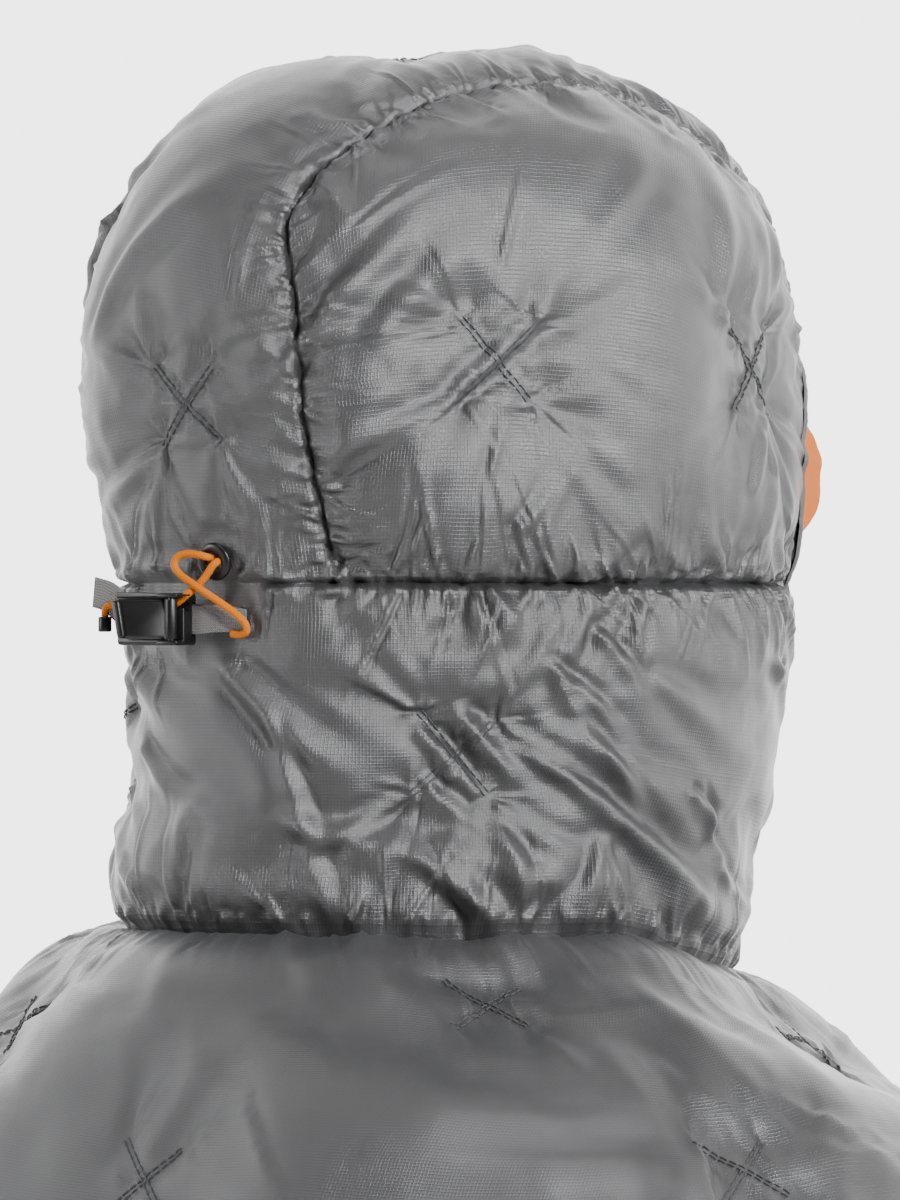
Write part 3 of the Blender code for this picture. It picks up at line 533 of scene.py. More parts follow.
clothRun = {"quality": 6, "mass": .08, "air_damping": 4, "tension_stiffness": 30, "compression_stiffness": 30,
            "shear_stiffness": 12, "bending_stiffness": .03, "tension_damping": 8, "compression_damping": 8,
            "shear_damping": 8, "vertex_group_mass": "held", "use_pressure": True,
            "uniform_pressure_force": 1.8, "vertex_group_shrink": "roomy", "shrink_min": -.12,
            "shrink_max": -.012}
whole.data.vertices.foreach_set("co", start.ravel())
whole.data.update()
held = whole.vertex_groups.new(name="held")
for i in np.nonzero(pins > 0)[0]:
    held.add([int(i)], 1.0, "REPLACE")
roomy = whole.vertex_groups.new(name="roomy")
for i, e in enumerate(extra):
    roomy.add([i], float(1 - e), "REPLACE")
cloth = whole.modifiers.new("cloth", "CLOTH")
for key, value in clothRun.items():
    setattr(cloth.settings, key, value)
cloth.settings.effector_weights.gravity = 0
cloth.collision_settings.use_collision = False
cloth.point_cache.frame_start = 1
cloth.point_cache.frame_end = 40
for f in range(1, 29):
    scene.frame_set(f)
seenMesh = whole.evaluated_get(bpy.context.evaluated_depsgraph_get()).data
run = np.zeros(len(lay) * 3)
seenMesh.vertices.foreach_get("co", run)
run = run.reshape(-1, 3)
scene.frame_set(1)
bpy.data.objects.remove(whole)
print("cloth run done, moved up to", round(float(np.abs(run - lay).max()), 4))

# the smallest lumps of the run are taken out away from the seams
lumps = run - lay
still = np.clip(np.minimum.reduce([dSeam, dNape, dNeck, dTack, dRim]) / .012, 0, 1) * .62
for grid in panels.values():
    g = lumps[grid]
    hold = still[grid][1:-1, 1:-1, None]
    for k in range(2):
        mean4 = (g[:-2, 1:-1] + g[2:, 1:-1] + g[1:-1, :-2] + g[1:-1, 2:]) / 4
        g[1:-1, 1:-1] += (mean4 - g[1:-1, 1:-1]) * hold
    lumps[grid] = g
run = lay + lumps

# pieces sit on the cloth under the adjuster, so it can't swell past them
aroundKit = np.minimum(toLock, toEye - .007)
aroundKit = np.where(np.abs(local[:, 2]) < .04, np.clip(aroundKit, 0, None), 1)
rise = np.einsum("ij,ij->i", run - lay, normals)
run = run - normals * np.clip(rise - .0012 - .26 * aroundKit, 0, None)[:, None]
run = run + normals * (.0062 * np.exp(-(dNape / .007) ** 2 - (aroundKit / .024) ** 2) * (1 - kit))[:, None]
local = (np.c_[run, np.ones(len(run))] @ np.array(place.inverted()).T)[:, :3]
cap = np.where(local[:, 1] > .012, .0021, .0008)
over = np.clip(local[:, 2] - cap, 0, None) * kit
run = run - np.array(axZ)[None] * over[:, None]
bulge = run - lay


# materials
def newMaterial(name, colour, rough, metal=0.0):
    m = bpy.data.materials.new(name)
    m.use_nodes = True
    m.diffuse_color = (*colour, 1)
    b = m.node_tree.nodes["Principled BSDF"]
    b.inputs["Base Color"].default_value = (*colour, 1)
    b.inputs["Roughness"].default_value = rough
    b.inputs["Metallic"].default_value = metal
    return m, m.node_tree, b


def node(tree, kind, **inputs):
    n = tree.nodes.new(kind)
    for k, val in inputs.items():
        n.inputs[k.replace("_", " ")].default_value = val
    return n


def math2(tree, op, a, b=None):
    n = tree.nodes.new("ShaderNodeMath")
    n.operation = op
    for k, s in enumerate((a, b)):
        if s is None:
            continue
        if isinstance(s, (int, float)):
            n.inputs[k].default_value = s
        else:
            tree.links.new(s, n.inputs[k])
    return n.outputs[0]


def uvParts(tree):
    # the two parts of the UV map, in metres along the cloth
    uv = tree.nodes.new("ShaderNodeUVMap")
    uv.uv_map = "cloth"
    sep = tree.nodes.new("ShaderNodeSeparateXYZ")
    tree.links.new(uv.outputs[0], sep.inputs[0])
    return sep.outputs[0], sep.outputs[1]


def wave(tree, value, rate):
    return math2(tree, "SINE", math2(tree, "MULTIPLY", value, rate))


def setTone(tree, b, colour, tone):
    mix = tree.nodes.new("ShaderNodeVectorMath")
    mix.operation = "SCALE"
    mix.inputs[0].default_value = colour
    tree.links.new(tone, mix.inputs["Scale"])
    tree.links.new(mix.outputs[0], b.inputs["Base Color"])


def setBump(tree, b, height, strength, distance):
    bump = node(tree, "ShaderNodeBump", Strength=strength, Distance=distance)
    tree.links.new(height, bump.inputs["Height"])
    tree.links.new(bump.outputs[0], b.inputs["Normal"])
    return bump


def between(tree, value, low, high, *goals):
    ramp = tree.nodes.new("ShaderNodeMapRange")
    ramp.inputs["To Min"].default_value = low
    ramp.inputs["To Max"].default_value = high
    tree.links.new(value, ramp.inputs["Value"])
    for goal in goals:
        tree.links.new(ramp.outputs[0], goal)
    return ramp.outputs[0]


def weave(tree, pitch, grid=0.0):
    # height of a plain weave, with thicker ripstop threads if there is a grid
    along, down = uvParts(tree)
    rate = 2 * math.pi / pitch
    height = math2(tree, "MULTIPLY", wave(tree, along, rate), wave(tree, down, rate))
    if grid:
        lines = []
        for part in (along, down):
            s = wave(tree, part, math.pi / grid)
            lines.append(math2(tree, "POWER", math2(tree, "ABSOLUTE", s), 14.0))
        rib = math2(tree, "MAXIMUM", lines[0], lines[1])
        height = math2(tree, "ADD", math2(tree, "MULTIPLY", height, .35), rib)
        return height, rib
    return height, height


def clothMaterial(name, colour, rough, metal, pitch, grid, strength, creases, sheen, tint):
    m, tree, b = newMaterial(name, colour, rough, metal)
    height, rib = weave(tree, pitch, grid)
    co = tree.nodes.new("ShaderNodeTexCoord")
    cloud = node(tree, "ShaderNodeTexNoise", Scale=9.0, Detail=4.0, Roughness=.55)
    tree.links.new(co.outputs["Object"], cloud.inputs["Vector"])
    patches = between(tree, cloud.outputs["Fac"], .9, 1.1)
    darker = math2(tree, "ADD", math2(tree, "MULTIPLY", rib, -.10), 1.0)
    setTone(tree, b, colour, math2(tree, "MULTIPLY", patches, darker))
    crumple = node(tree, "ShaderNodeTexNoise", Scale=75.0, Detail=5.0, Roughness=.6, Distortion=.6)
    tree.links.new(co.outputs["Object"], crumple.inputs["Vector"])
    between(tree, crumple.outputs["Fac"], rough - .06, rough + .08, b.inputs["Roughness"])
    threads = setBump(tree, b, height, strength, .00012)
    setBump(tree, threads, crumple.outputs["Fac"], creases, .0012)
    b.inputs["Sheen Weight"].default_value = sheen
    b.inputs["Sheen Roughness"].default_value = .35
    b.inputs["Sheen Tint"].default_value = (*tint, 1)
    return m


ripstop = {"colour": (.12, .12, .123), "rough": .325, "metal": .7, "pitch": .00045, "grid": .0011,
           "strength": .6, "creases": .12, "sheen": .04, "tint": (.75, .8, .85)}
taffeta = {"colour": (.62, .145, .001), "rough": .45, "metal": 0, "pitch": .0004, "grid": 0,
           "strength": .4, "creases": .35, "sheen": .04, "tint": (1, .6, .3)}
shellMat = clothMaterial("shellRipstop", **ripstop)
liningMat = clothMaterial("liningTaffeta", **taffeta)


def flatMaterial(name, colour, rough, metal=0.0, grain=900, bump=.06, spread=.06):
    m, tree, b = newMaterial(name, colour, rough, metal)
    co = tree.nodes.new("ShaderNodeTexCoord")
    fine = node(tree, "ShaderNodeTexNoise", Scale=float(grain), Detail=3.0)
    tree.links.new(co.outputs["Object"], fine.inputs["Vector"])
    wide = node(tree, "ShaderNodeTexNoise", Scale=grain / 12, Detail=4.0)
    tree.links.new(co.outputs["Object"], wide.inputs["Vector"])
    between(tree, wide.outputs["Fac"], rough - spread, rough + spread, b.inputs["Roughness"])
    setBump(tree, b, fine.outputs["Fac"], bump, .0002)
    return m


plasticMat = flatMaterial("blackPlastic", (.0045, .0045, .005), .36, 0, 1600, .12)
steelMat = flatMaterial("darkSteel", (.09, .09, .095), .3, 1, 1200, .05)
# the thread's dark grey is painted shade: the real thread is the shell's grey, and the darker colour stands
# in for the shadows along the stitches
threadPaintedShadeMat = flatMaterial("thread", (.055, .056, .058), .6, 0, 3000, .3)

print("materials done")


# cloth pieces
def smoothNormals(pts, quads):
    n = np.zeros_like(pts)
    a, b, c, d = (pts[quads[:, k]] for k in range(4))
    fn = np.cross(c - a, d - b)
    for k in range(4):
        np.add.at(n, quads[:, k], fn)
    return n / np.maximum(np.linalg.norm(n, axis=1, keepdims=True), 1e-12)


def finer(grid, times):
    # cubic steps between the rows, then between the columns
    for axis in (0, 1):
        g = np.moveaxis(grid, axis, 0)
        wide = np.concatenate([2 * g[:1] - g[1:2], g, 2 * g[-1:] - g[-2:-1]])
        t = np.arange((len(g) - 1) * times + 1) / times
        i = np.minimum(t.astype(int), len(g) - 2)
        f = (t - i).reshape(-1, *[1] * (g.ndim - 1))
        a, b, c, d = (wide[i + k] for k in range(4))
        g = b + .5 * f * (c - a + f * (2 * a - 5 * b + 4 * c - d + f * (3 * (b - c) + d - a)))
        grid = np.moveaxis(g, 0, axis)
    return grid


def gridPiece(name, pts3, material, flatPts=None):
    # cloth from a grid of points, with its UV map in metres along the cloth
    rows, cols = pts3.shape[:2]
    obj = makeMesh(name, pts3.reshape(-1, 3), quadsOf(np.arange(rows * cols).reshape(rows, cols)))
    lie = pts3 if flatPts is None else flatPts
    across = np.zeros((rows, cols))
    down = np.zeros((rows, cols))
    across[:, 1:] = np.cumsum(np.linalg.norm(np.diff(lie, axis=1), axis=2), axis=1)
    across -= across[:, cols // 2][:, None]
    down[1:] = np.cumsum(np.linalg.norm(np.diff(lie, axis=0), axis=2), axis=0)
    down = np.repeat(down.mean(axis=1)[:, None], cols, 1)
    uvs = np.stack([across, down], -1).reshape(-1, 2)
    layer = obj.data.uv_layers.new(name="cloth")
    loops = np.zeros(len(obj.data.loops), int)
    obj.data.loops.foreach_get("vertex_index", loops)
    layer.data.foreach_set("uv", uvs[loops].ravel())
    obj.data.materials.append(material)
    obj.data.shade_smooth()
    return obj


# fine creases: start, way, across, length, width, height, bend
creases = []


def addCrease(start, way, n, length, width, high):
    n = np.asarray(n, float)
    way = np.asarray(way, float) - n * np.dot(way, n)
    way /= np.linalg.norm(way)
    bend = rng.uniform(-.22, .22)
    creases.append((np.asarray(start, float), way, np.cross(n, way), length, width, high, bend))


for i, n, legs in tacks:
    for leg in legs:
        for sgn in (-1, 1):
            tip = lay[i] + np.array(leg) * (tackLeg - .001) * sgn
            for k in range(4):
                spread = rng.normal(0, 45)
                addCrease(tip, turned(leg * sgn, n, spread), n, .007 + .034 * rng.random() ** 2,
                          rng.uniform(.0008, .0017), rng.uniform(.0003, .0009))
            spot = lay[i] + np.array(leg) * rng.uniform(.1, .9) * tackLeg * sgn
            spread = rng.choice([-1, 1]) * rng.uniform(50, 100)
            addCrease(spot, turned(leg * sgn, n, spread), n, rng.uniform(.004, .011),
                      rng.uniform(.0007, .0011), rng.uniform(.0003, .0008))
seamSets = ((list(strip[:, 0]), 200, .028, .0007), (list(strip[:, -1]), 200, .028, .0007),
            (napeSeam, 330, .048, .0010), (neckSeam, 280, .045, .0007))
for ids, count, reach, tall in seamSets:
    lean = waves(np.linspace(0, 1, len(ids)), (.21, .37, .6), len(ids)) * 40
    for k in range(count):
        j = int(rng.integers(2, len(ids) - 2))
        n = normals[ids[j]]
        out = np.cross(n, lay[ids[j + 1]] - lay[ids[j - 1]]) * rng.choice([-1, 1])
        start = lay[ids[j]] + (lay[ids[j + 1]] - lay[ids[j]]) * rng.random()
        addCrease(start, turned(out, n, lean[j] + rng.normal(0, 15)), n, .006 + reach * rng.random() ** 2.2,
                  rng.uniform(.0008, .0017), rng.uniform(.35, 1) * tall)
# long pulls that cross the panels
longPulls = ((34, .005, .105, -38, .0024), (26, .12, .26, 60, .001),
             (90, -.16, -.01, -20, .0011), (200, -1.3, -.16, 5, .0011))
for count, zLow, zHigh, slope, tall in longPulls:
    for k in range(count):
        i = int(rng.choice(np.flatnonzero((lay[:, 2] > zLow) & (lay[:, 2] < zHigh))))
        n = Vector(normals[i])
        level = Vector((0, 0, 1)).cross(n)
        if level.length < .1:
            continue
        addCrease(lay[i], turned(level.normalized(), n, slope + rng.normal(0, 16)), n, rng.uniform(.03, .085),
                  rng.uniform(.0020, .0044), rng.uniform(.3, 1) * tall)


def creaseHeights(pts):
    order = np.argsort(pts[:, 2])
    level = pts[order, 2]
    total = np.zeros(len(pts))
    for start, way, across, length, width, high, bend in creases:
        low, top = np.searchsorted(level, (start[2] - length, start[2] + length))
        ids = order[low:top]
        rel = pts[ids] - start
        ids = ids[np.abs(rel).max(axis=1) < length] if len(ids) else ids
        if not len(ids):
            continue
        rel = pts[ids] - start
        a = rel @ way / length
        b = (rel @ across - bend * length * a**2) / (width * (.6 + .7 * np.clip(a, 0, 1)))
        fold = np.exp(-np.abs(b) ** 1.6) - .75 * np.exp(-((b - 1.7) / .8) ** 2)
        fold -= .2 * np.exp(-((b + 1.9) / 1.1) ** 2)
        near = np.abs(rel @ np.cross(way, across)) < .03
        total[ids] += high * fold * smooth(a / .14) * smooth((1 - a) / .75) * near
    return np.clip(total, -.0022, .0026)


baseNormals = smoothNormals(lay, allQuads)
shells = {}
for name, grid in panels.items():
    times = 2 if name == "body" else 3
    flatPts, pts, out = (finer(v[grid], times) for v in (lay, run, baseNormals))
    fields = np.stack([dSeam, dNape, dNeck, dRim, dTack, kit], -1)
    dS, dN, dK, dR, dT, under = np.moveaxis(finer(fields[grid], times), -1, 0)
    lift = sum(tall * (np.exp(-(d / .0075) ** 2) - np.exp(-(d / .0012) ** 2))
               for d, tall in ((dS, .0024), (dN, .0034), (dK, .0026)))
    lift += .0016 * np.exp(-(dS / .009) ** 2) + .0030 * np.exp(-(dN / .009) ** 2)
    fine = creaseHeights(flatPts.reshape(-1, 3)).reshape(dS.shape)
    fine *= smooth(dR / .007) * (1 - np.exp(-(dT / .0018) ** 2))
    fine *= smooth(np.minimum(np.minimum(dS, dN), dK) / .0012)
    fine *= 1.0 if name == "neck" else 1.15
    pts = pts + out * ((lift * smooth(dR / .012) + fine) * (1 - np.clip(under, 0, 1)))[..., None]
    shells[name] = gridPiece(name + "_cover", pts, shellMat, flatPts)
    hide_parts(name + "_shell", name + "_batting")
    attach(shells[name], "quilt")

# lining: hangs inside the batting and mirrors the tacks
ripple = np.zeros(len(lay))
for k in range(26):
    d = rng.normal(0, 1, 3) * (70, 70, 32)
    ripple += np.sin(lay @ d + rng.uniform(0, 6.28)) * .00035
liningDepth = .0138 - .0055 * np.exp(-(dSeam / .010) ** 2) - .005 * np.exp(-(dNape / .010) ** 2)
liningDepth -= .0075 * np.exp(-(dTack / .012) ** 2)
liningDepth = np.maximum(liningDepth, .0035) + ripple * (1 - np.exp(-(np.minimum(dSeam, dTack) / .02) ** 2))
deeper = np.minimum(0, np.einsum("ij,ij->i", bulge, baseNormals))
for grid in panels.values():
    # the lowest neighbour counts, so that no dip meets the lining
    d = deeper[grid]
    for k in range(2):
        wide = np.pad(d, 1, mode="edge")
        d = np.minimum.reduce([wide[a:a + d.shape[0], b:b + d.shape[1]] for a in range(3) for b in range(3)])
    deeper[grid] = np.minimum(deeper[grid], d)
liningDepth = np.maximum(liningDepth, -deeper + .0042)
inner = lay - baseNormals * liningDepth[:, None]
for name, grid in panels.items():
    times = 1 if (name == "body") else 2
    lining = gridPiece(name + "_inside", finer(inner[grid[:, ::-1]], times), liningMat)
    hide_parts(name + "_lining")
    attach(lining, "quilt")
print("covers and linings done")


# rolled edges over the open sides of the walls
def rolledEdge(name, ids, away, puff, lap, peek=0):
    # a strip from the cover, round the edge, to the lining
    rowsOut = []
    outerPts, innerPts = run[ids], inner[ids]
    out = baseNormals[ids]
    away = unit(away - out * np.einsum("ij,ij->i", away, out)[:, None])
    for s in np.linspace(0, 1, 13):
        if s < .2:
            k = 1 - s / .2
            row = outerPts - away * lap * k + out * (.0013 if k < 1 else .0002)
        elif s > .8:
            k = (s - .8) / .2
            row = innerPts - away * lap * k - out * (.0013 if k < 1 else .0002)
        else:
            t = (s - .2) / .6
            mid0 = outerPts * (1 - t) + innerPts * t
            row = mid0 + away * puff * math.sin(math.pi * t) ** .6 + out * .0007 * (1 - t) - out * .0007 * t
            row = row + peek * math.sin(math.pi * t) ** 2
        rowsOut.append(row)
    return gridPiece(name, finer(np.array(rowsOut), 2), shellMat)


faceIds = (list(neck[-1, :nF + 1]) + list(sideR[1:, -1]) + list(strip[0, 1:]) + list(sideL[::-1, -1][1:])
           + list(neck[-1, -nF - 1:][1:]))
ordered = [faceIds[0]]
for i in faceIds[1:]:
    if i != ordered[-1]:
        ordered.append(i)
rimPts = run[ordered]
rimAway = np.array([0, 0, face["mid"]]) - rimPts
rimAway[:, 1] = 0
# at cheek height the lining shows past the edge
rimPeek = np.exp(-((rimPts[:, 2] - .147) / .021) ** 4) * .0122 * smooth((np.abs(rimPts[:, 0]) - .045) / .01)
peekWay = np.stack([np.sign(rimPts[:, 0]) * .5, 0 * rimPeek - .87, 0 * rimPeek], 1)
rimRoll = rolledEdge("face_opening_trim", ordered, rimAway, .0016, .0032, rimPeek[:, None] * peekWay)
rimRoll.data.materials.append(liningMat)
uvData = rimRoll.data.uv_layers["cloth"].data
for poly in rimRoll.data.polygons:
    shown = .0035 if .122 < poly.center.z < .172 and abs(poly.center.x) > .045 else .0105
    if sum(uvData[i].uv[1] for i in poly.loop_indices) / len(poly.loop_indices) > shown:
        poly.material_index = 1
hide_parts("face_opening_binding")
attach(rimRoll, "quilt")
hemRoll = rolledEdge("hem_trim", hem, np.tile([0, 0, -1.0], (len(hem), 1)), .0015, .006)
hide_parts("hem_binding")
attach(hemRoll, "quilt")


# thread of the cross tacks, laid along the cloth
coverTrees = [BVHTree.FromPolygons([v.co for v in s.data.vertices], [p.vertices for p in s.data.polygons])
              for s in shells.values()]


def onCover(p, n):
    hits = [tree.ray_cast(p + n * .02, -n, .06) for tree in coverTrees]
    hits = [h for h in hits if h[0]]
    return min(hits, key=lambda h: h[3])[0] if hits else None


def threadCurve(name, runs, radius=.0003):
    cu = bpy.data.curves.new(name, "CURVE")
    cu.dimensions = "3D"
    cu.bevel_depth = radius
    cu.bevel_resolution = 1
    cu.use_fill_caps = True
    for pts in runs:
        sp = cu.splines.new("POLY")
        sp.points.add(len(pts) - 1)
        for slot, p in zip(sp.points, pts):
            slot.co = (*p, 1)
    obj = bpy.data.objects.new(name, cu)
    scene.collection.objects.link(obj)
    cu.materials.append(threadPaintedShadeMat)
    return obj


stitches = []
for i, n, legs in tacks:
    mid0 = Vector(lay[i])
    for d in legs:
        off = n.cross(d).normalized()
        for lane in (-.0009, .0009):
            s = -tackLeg
            while s < tackLeg - .0020:
                pts = []
                for k in range(5):
                    q = onCover(mid0 + d * (s + .0024 * k / 4) + off * lane, n)
                    if q:
                        pts.append(q + n * (.0001 + .0003 * math.sin(math.pi * k / 4)))
                if len(pts) == 5:
                    stitches.append(pts)
                s += .0032
tackThread = threadCurve("tack_thread", stitches)
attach(tackThread, "quilt")
print("thread", len(stitches))

# zip
zipLine = [(-.1129, .054), (-.09585, -.02143), (-.11412, -.0402), (-.13251, -.06383), (-.14944, -.09451),
           (-.16482, -.13851), (-.17668, -.2003), (-.1812, -.262), (-.20107, -1.33)]
zipPts = even([(0, y, z) for y, z in zipLine], 400)[:, 1:]
zipAhead = unit(np.gradient(zipPts, axis=0))
zipOut = np.stack([zipAhead[:, 1], -zipAhead[:, 0]], 1)


def zipAt(x, lift):
    yz = zipPts + zipOut * lift
    return np.stack([0 * yz[:, 0] + x, yz[:, 0], yz[:, 1]], 1)


tapeRows = ((.0012, -.0003), (.003, -.0002), (.006, -.0003), (.0092, -.0002), (.0135, .0004))
for side, word in ((1, "left"), (-1, "right")):
    rowsT = [zipAt(side * x, h) for x, h in tapeRows]
    tape = gridPiece("zip_tape_web_" + word, np.array(rowsT)[::side], shellMat)
    thick = tape.modifiers.new("thick", "SOLIDIFY")
    thick.thickness = .0005
    bpy.context.view_layer.objects.active = tape
    bpy.ops.object.modifier_apply(modifier="thick")
    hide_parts("zip_tape_" + word)
    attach(tape, "quilt")


# hard pieces are shaped in a local frame and then moved into place
def clearPick():
    for o in bpy.context.selected_objects:
        o.select_set(False)


def bake(obj):
    # place, turn and size, and every modifier, are applied
    clearPick()
    obj.select_set(True)
    bpy.context.view_layer.objects.active = obj
    bpy.ops.object.transform_apply(location=True, rotation=True, scale=True)
    for mod in list(obj.modifiers):
        bpy.ops.object.modifier_apply(modifier=mod.name)
    return obj


def block(low, high, round=.0, segments=3, taper=None):
    clearPick()
    bpy.ops.mesh.primitive_cube_add(size=1, location=[(a + b) / 2 for a, b in zip(low, high)])
    obj = bpy.context.object
    obj.scale = [b - a for a, b in zip(low, high)]
    bake(obj)
    if taper:
        for vert in obj.data.vertices:
            vert.co = taper(vert.co)
    if round:
        mod = obj.modifiers.new("round", "BEVEL")
        mod.width = round
        mod.segments = segments
        bake(obj)
    return obj


def drum(a, b, radius, sides=32, round=.0, hole=0.0):
    a, b = Vector(a), Vector(b)
    clearPick()
    turn = (b - a).to_track_quat("Z", "Y").to_euler()
    bpy.ops.mesh.primitive_cylinder_add(vertices=sides, radius=radius, depth=(b - a).length,
                                        location=(a + b) / 2, rotation=turn)
    obj = bake(bpy.context.object)
    if hole:
        cutFrom(obj, drum(a - (b - a) * .2, b + (b - a) * .2, hole, sides))
    if round:
        mod = obj.modifiers.new("round", "BEVEL")
        mod.width = round
        mod.segments = 3
        mod.angle_limit = math.radians(50)
        bake(obj)
    return obj


def cutFrom(obj, *tools, op="DIFFERENCE"):
    for tool in tools:
        mod = obj.modifiers.new("cut", "BOOLEAN")
        mod.operation = op
        mod.solver = "EXACT"
        mod.object = tool
        bake(obj)
        bpy.data.objects.remove(tool)
    return obj


def addTo(obj, *others):
    return cutFrom(obj, *others, op="UNION")


def finishPiece(obj, name, material, frameAt, nodes, body, soften=.00025):
    if soften:
        mod = obj.modifiers.new("edge", "BEVEL")
        mod.width = soften
        mod.segments = 2
        mod.limit_method = "ANGLE"
        mod.angle_limit = math.radians(38)
        bake(obj)
    obj.name = name
    obj.data.name = name
    obj.data.transform(frameAt)
    if frameAt.determinant() < 0:
        obj.data.flip_normals()
    obj.data.materials.clear()
    obj.data.materials.append(material)
    clearPick()
    obj.select_set(True)
    bpy.context.view_layer.objects.active = obj
    bpy.ops.object.shade_smooth_by_angle(angle=math.radians(35))
    if nodes:
        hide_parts(*nodes)
    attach(obj, body)
    return obj


# cord lock: body with a webbing slot and a cord bore
def pointed(co):
    if co.x < .02:
        co.y = .0077 + (co.y - .0077) * .3
        co.z = .0112 + (co.z - .0112) * .45
    return co


lock = {"pinX": .0195, "pinZ": .0126, "pin": .0010, "pinBore": .00106, "cordY": .0042, "cordZ": .0084,
        "cordBore": .00165, "grooves": 4, "grooveStart": .0262, "groovePitch": .0034, "groove": .0014}
cord = {"radius": .00125, "thick": .0025}


def pinDrum(half, radius, sides, round=.0):
    ends = [(lock["pinX"], y, lock["pinZ"]) for y in (-half, half)]
    return drum(*ends, radius, sides, round)


lockBody = block((.0160, -.0085, .0022), (.0415, .0085, .0108), .0011)
addTo(lockBody, block((.0162, .0069, .0090), (.0240, .0084, .0146), .0006),
      block((.0162, -.0084, .0090), (.0240, -.0069, .0146), .0006))
cordBore = drum((.0100, lock["cordY"], lock["cordZ"]), (.0450, lock["cordY"], lock["cordZ"]),
                lock["cordBore"], 24)
cutFrom(lockBody, block((.0120, -.0053, .0034), (.0450, .0053, .0053)), cordBore,
        block((.0150, -.0068, .01035), (.0430, .0068, .0200)),
        pinDrum(.02, lock["pinBore"], 24),
        block((.0150, .0032, .0080), (.0215, .0100, .0104), .0006))
for k in range(lock["grooves"]):
    x = lock["grooveStart"] + lock["groovePitch"] * k
    for low, high in ((.0079, .0095), (-.0095, -.0079)):
        cutFrom(lockBody, block((x, low, .0032), (x + lock["groove"], high, .0092), .0003))
addTo(lockBody, block((.0136, .0069, .0088), (.0400, .0089, .0134), .0006, 4, pointed))
finishPiece(lockBody, "lock_case", plasticMat, place, ["cord_lock_body"], "quilt")

pin = pinDrum(.0085, lock["pin"], 24, .0002)
finishPiece(pin, "lock_pin", steelMat, place, ["cord_lock_pin"], "quilt", 0)


def slantEdge(co):
    # the cover leans and is wider at its foot than at the jaw
    co.x += co.y * (.34 if co.x < .022 else .18)
    return co


lever = pinDrum(.0064, .0021, 32)
addTo(lever, block((.0195, -.0064, .0112), (.0405, .0064, .0139), .0011, 5, slantEdge),
      block((.0372, -.0062, .0128), (.0400, .0062, .0150), .0009, 4, slantEdge))
cutFrom(lever, pinDrum(.02, lock["pinBore"], 24))
finishPiece(lever, "lock_cover", plasticMat, place, ["cord_lock_lever"], "lock_lever")

# eyelet
eye = np.array(at(*eyeSpot, 0))
look = eye - head
eye = Vector(cast(head, look / np.linalg.norm(look)))
nudge = 1e-5 * np.eye(3)
eyeOut = Vector([float(hoodLevel(np.array(eye) + e) - hoodLevel(np.array(eye) - e)) for e in nudge])
eyeOut = eyeOut.normalized()
clearPick()
bpy.ops.mesh.primitive_torus_add(major_radius=.0047, minor_radius=.0016, major_segments=64, minor_segments=20)
ring1 = bpy.context.object
ring1.scale = (1, 1, .55)
bake(ring1)
addTo(ring1, drum((0, 0, -.0009), (0, 0, .0004), .0062, 64, .0003, .0034))
eyeAt = Matrix.Translation(eye + eyeOut * .0016) @ eyeOut.to_track_quat("Z", "Y").to_matrix().to_4x4()
finishPiece(ring1, "eyelet_ring", plasticMat, eyeAt, ["eyelet"], "quilt", 0)

# zip sliders and pulls
topAt = Matrix(((1, 0, 0, 0), (0, -.2204, -.9754, -.1104), (0, .9754, -.2204, .0430), (0, 0, 0, 1)))
footAt = Matrix(((1, 0, 0, 0), (0, .0186, -.9998, -.2011), (0, .9998, .0186, -1.3297), (0, 0, 0, 1)))


def narrow(co):
    if co.y > .009:
        co.x *= .72
    return co


for word, frameAt, lean in (("top", topAt, 12), ("bottom", footAt, 0)):
    slider = block((-.0044, 0, .0025), (.0044, .0110, .0037), .0005, 3, narrow)
    addTo(slider, block((-.0044, 0, -.0022), (.0044, .0110, -.0012), .0004, 2, narrow),
          block((-.00025, .0010, -.0016), (.00025, .0100, .0029)),
          block((-.0034, .0045, .0034), (-.0022, .0079, .0069), .0004),
          block((.0022, .0045, .0034), (.0034, .0079, .0069), .0004),
          drum((-.0025, .0062, .0060), (.0025, .0062, .0060), .0006, 16))
    finishPiece(slider, "slider_" + word, steelMat, frameAt, ["zip_%s_slider" % word],
                word + "_slider", .0001)
    pull = drum((-.0019, 0, 0), (.0019, 0, 0), .0016, 24, 0, .0009)
    addTo(pull, block((-.0019, -.0070, -.0007), (.0019, -.0012, .0007), .0003),
          block((-.0036, -.0260, -.0007), (.0036, -.0060, .0007), .0005))
    cutFrom(pull, block((-.0018, -.0235, -.0020), (.0018, -.0205, .0020), .0008))
    for k in range(6):
        y = -.0185 + .0018 * k
        cutFrom(pull, block((-.0026, y, .00045), (.0026, y + .0008, .0012)))
    hang = frameAt @ Matrix.Translation((0, .0062, .0060)) @ Matrix.Rotation(math.radians(-lean), 4, "X")
    finishPiece(pull, "pull_" + word, steelMat, hang, ["zip_%s_slider_pull" % word],
                word + "_pull", .0001)
print("hard pieces done")

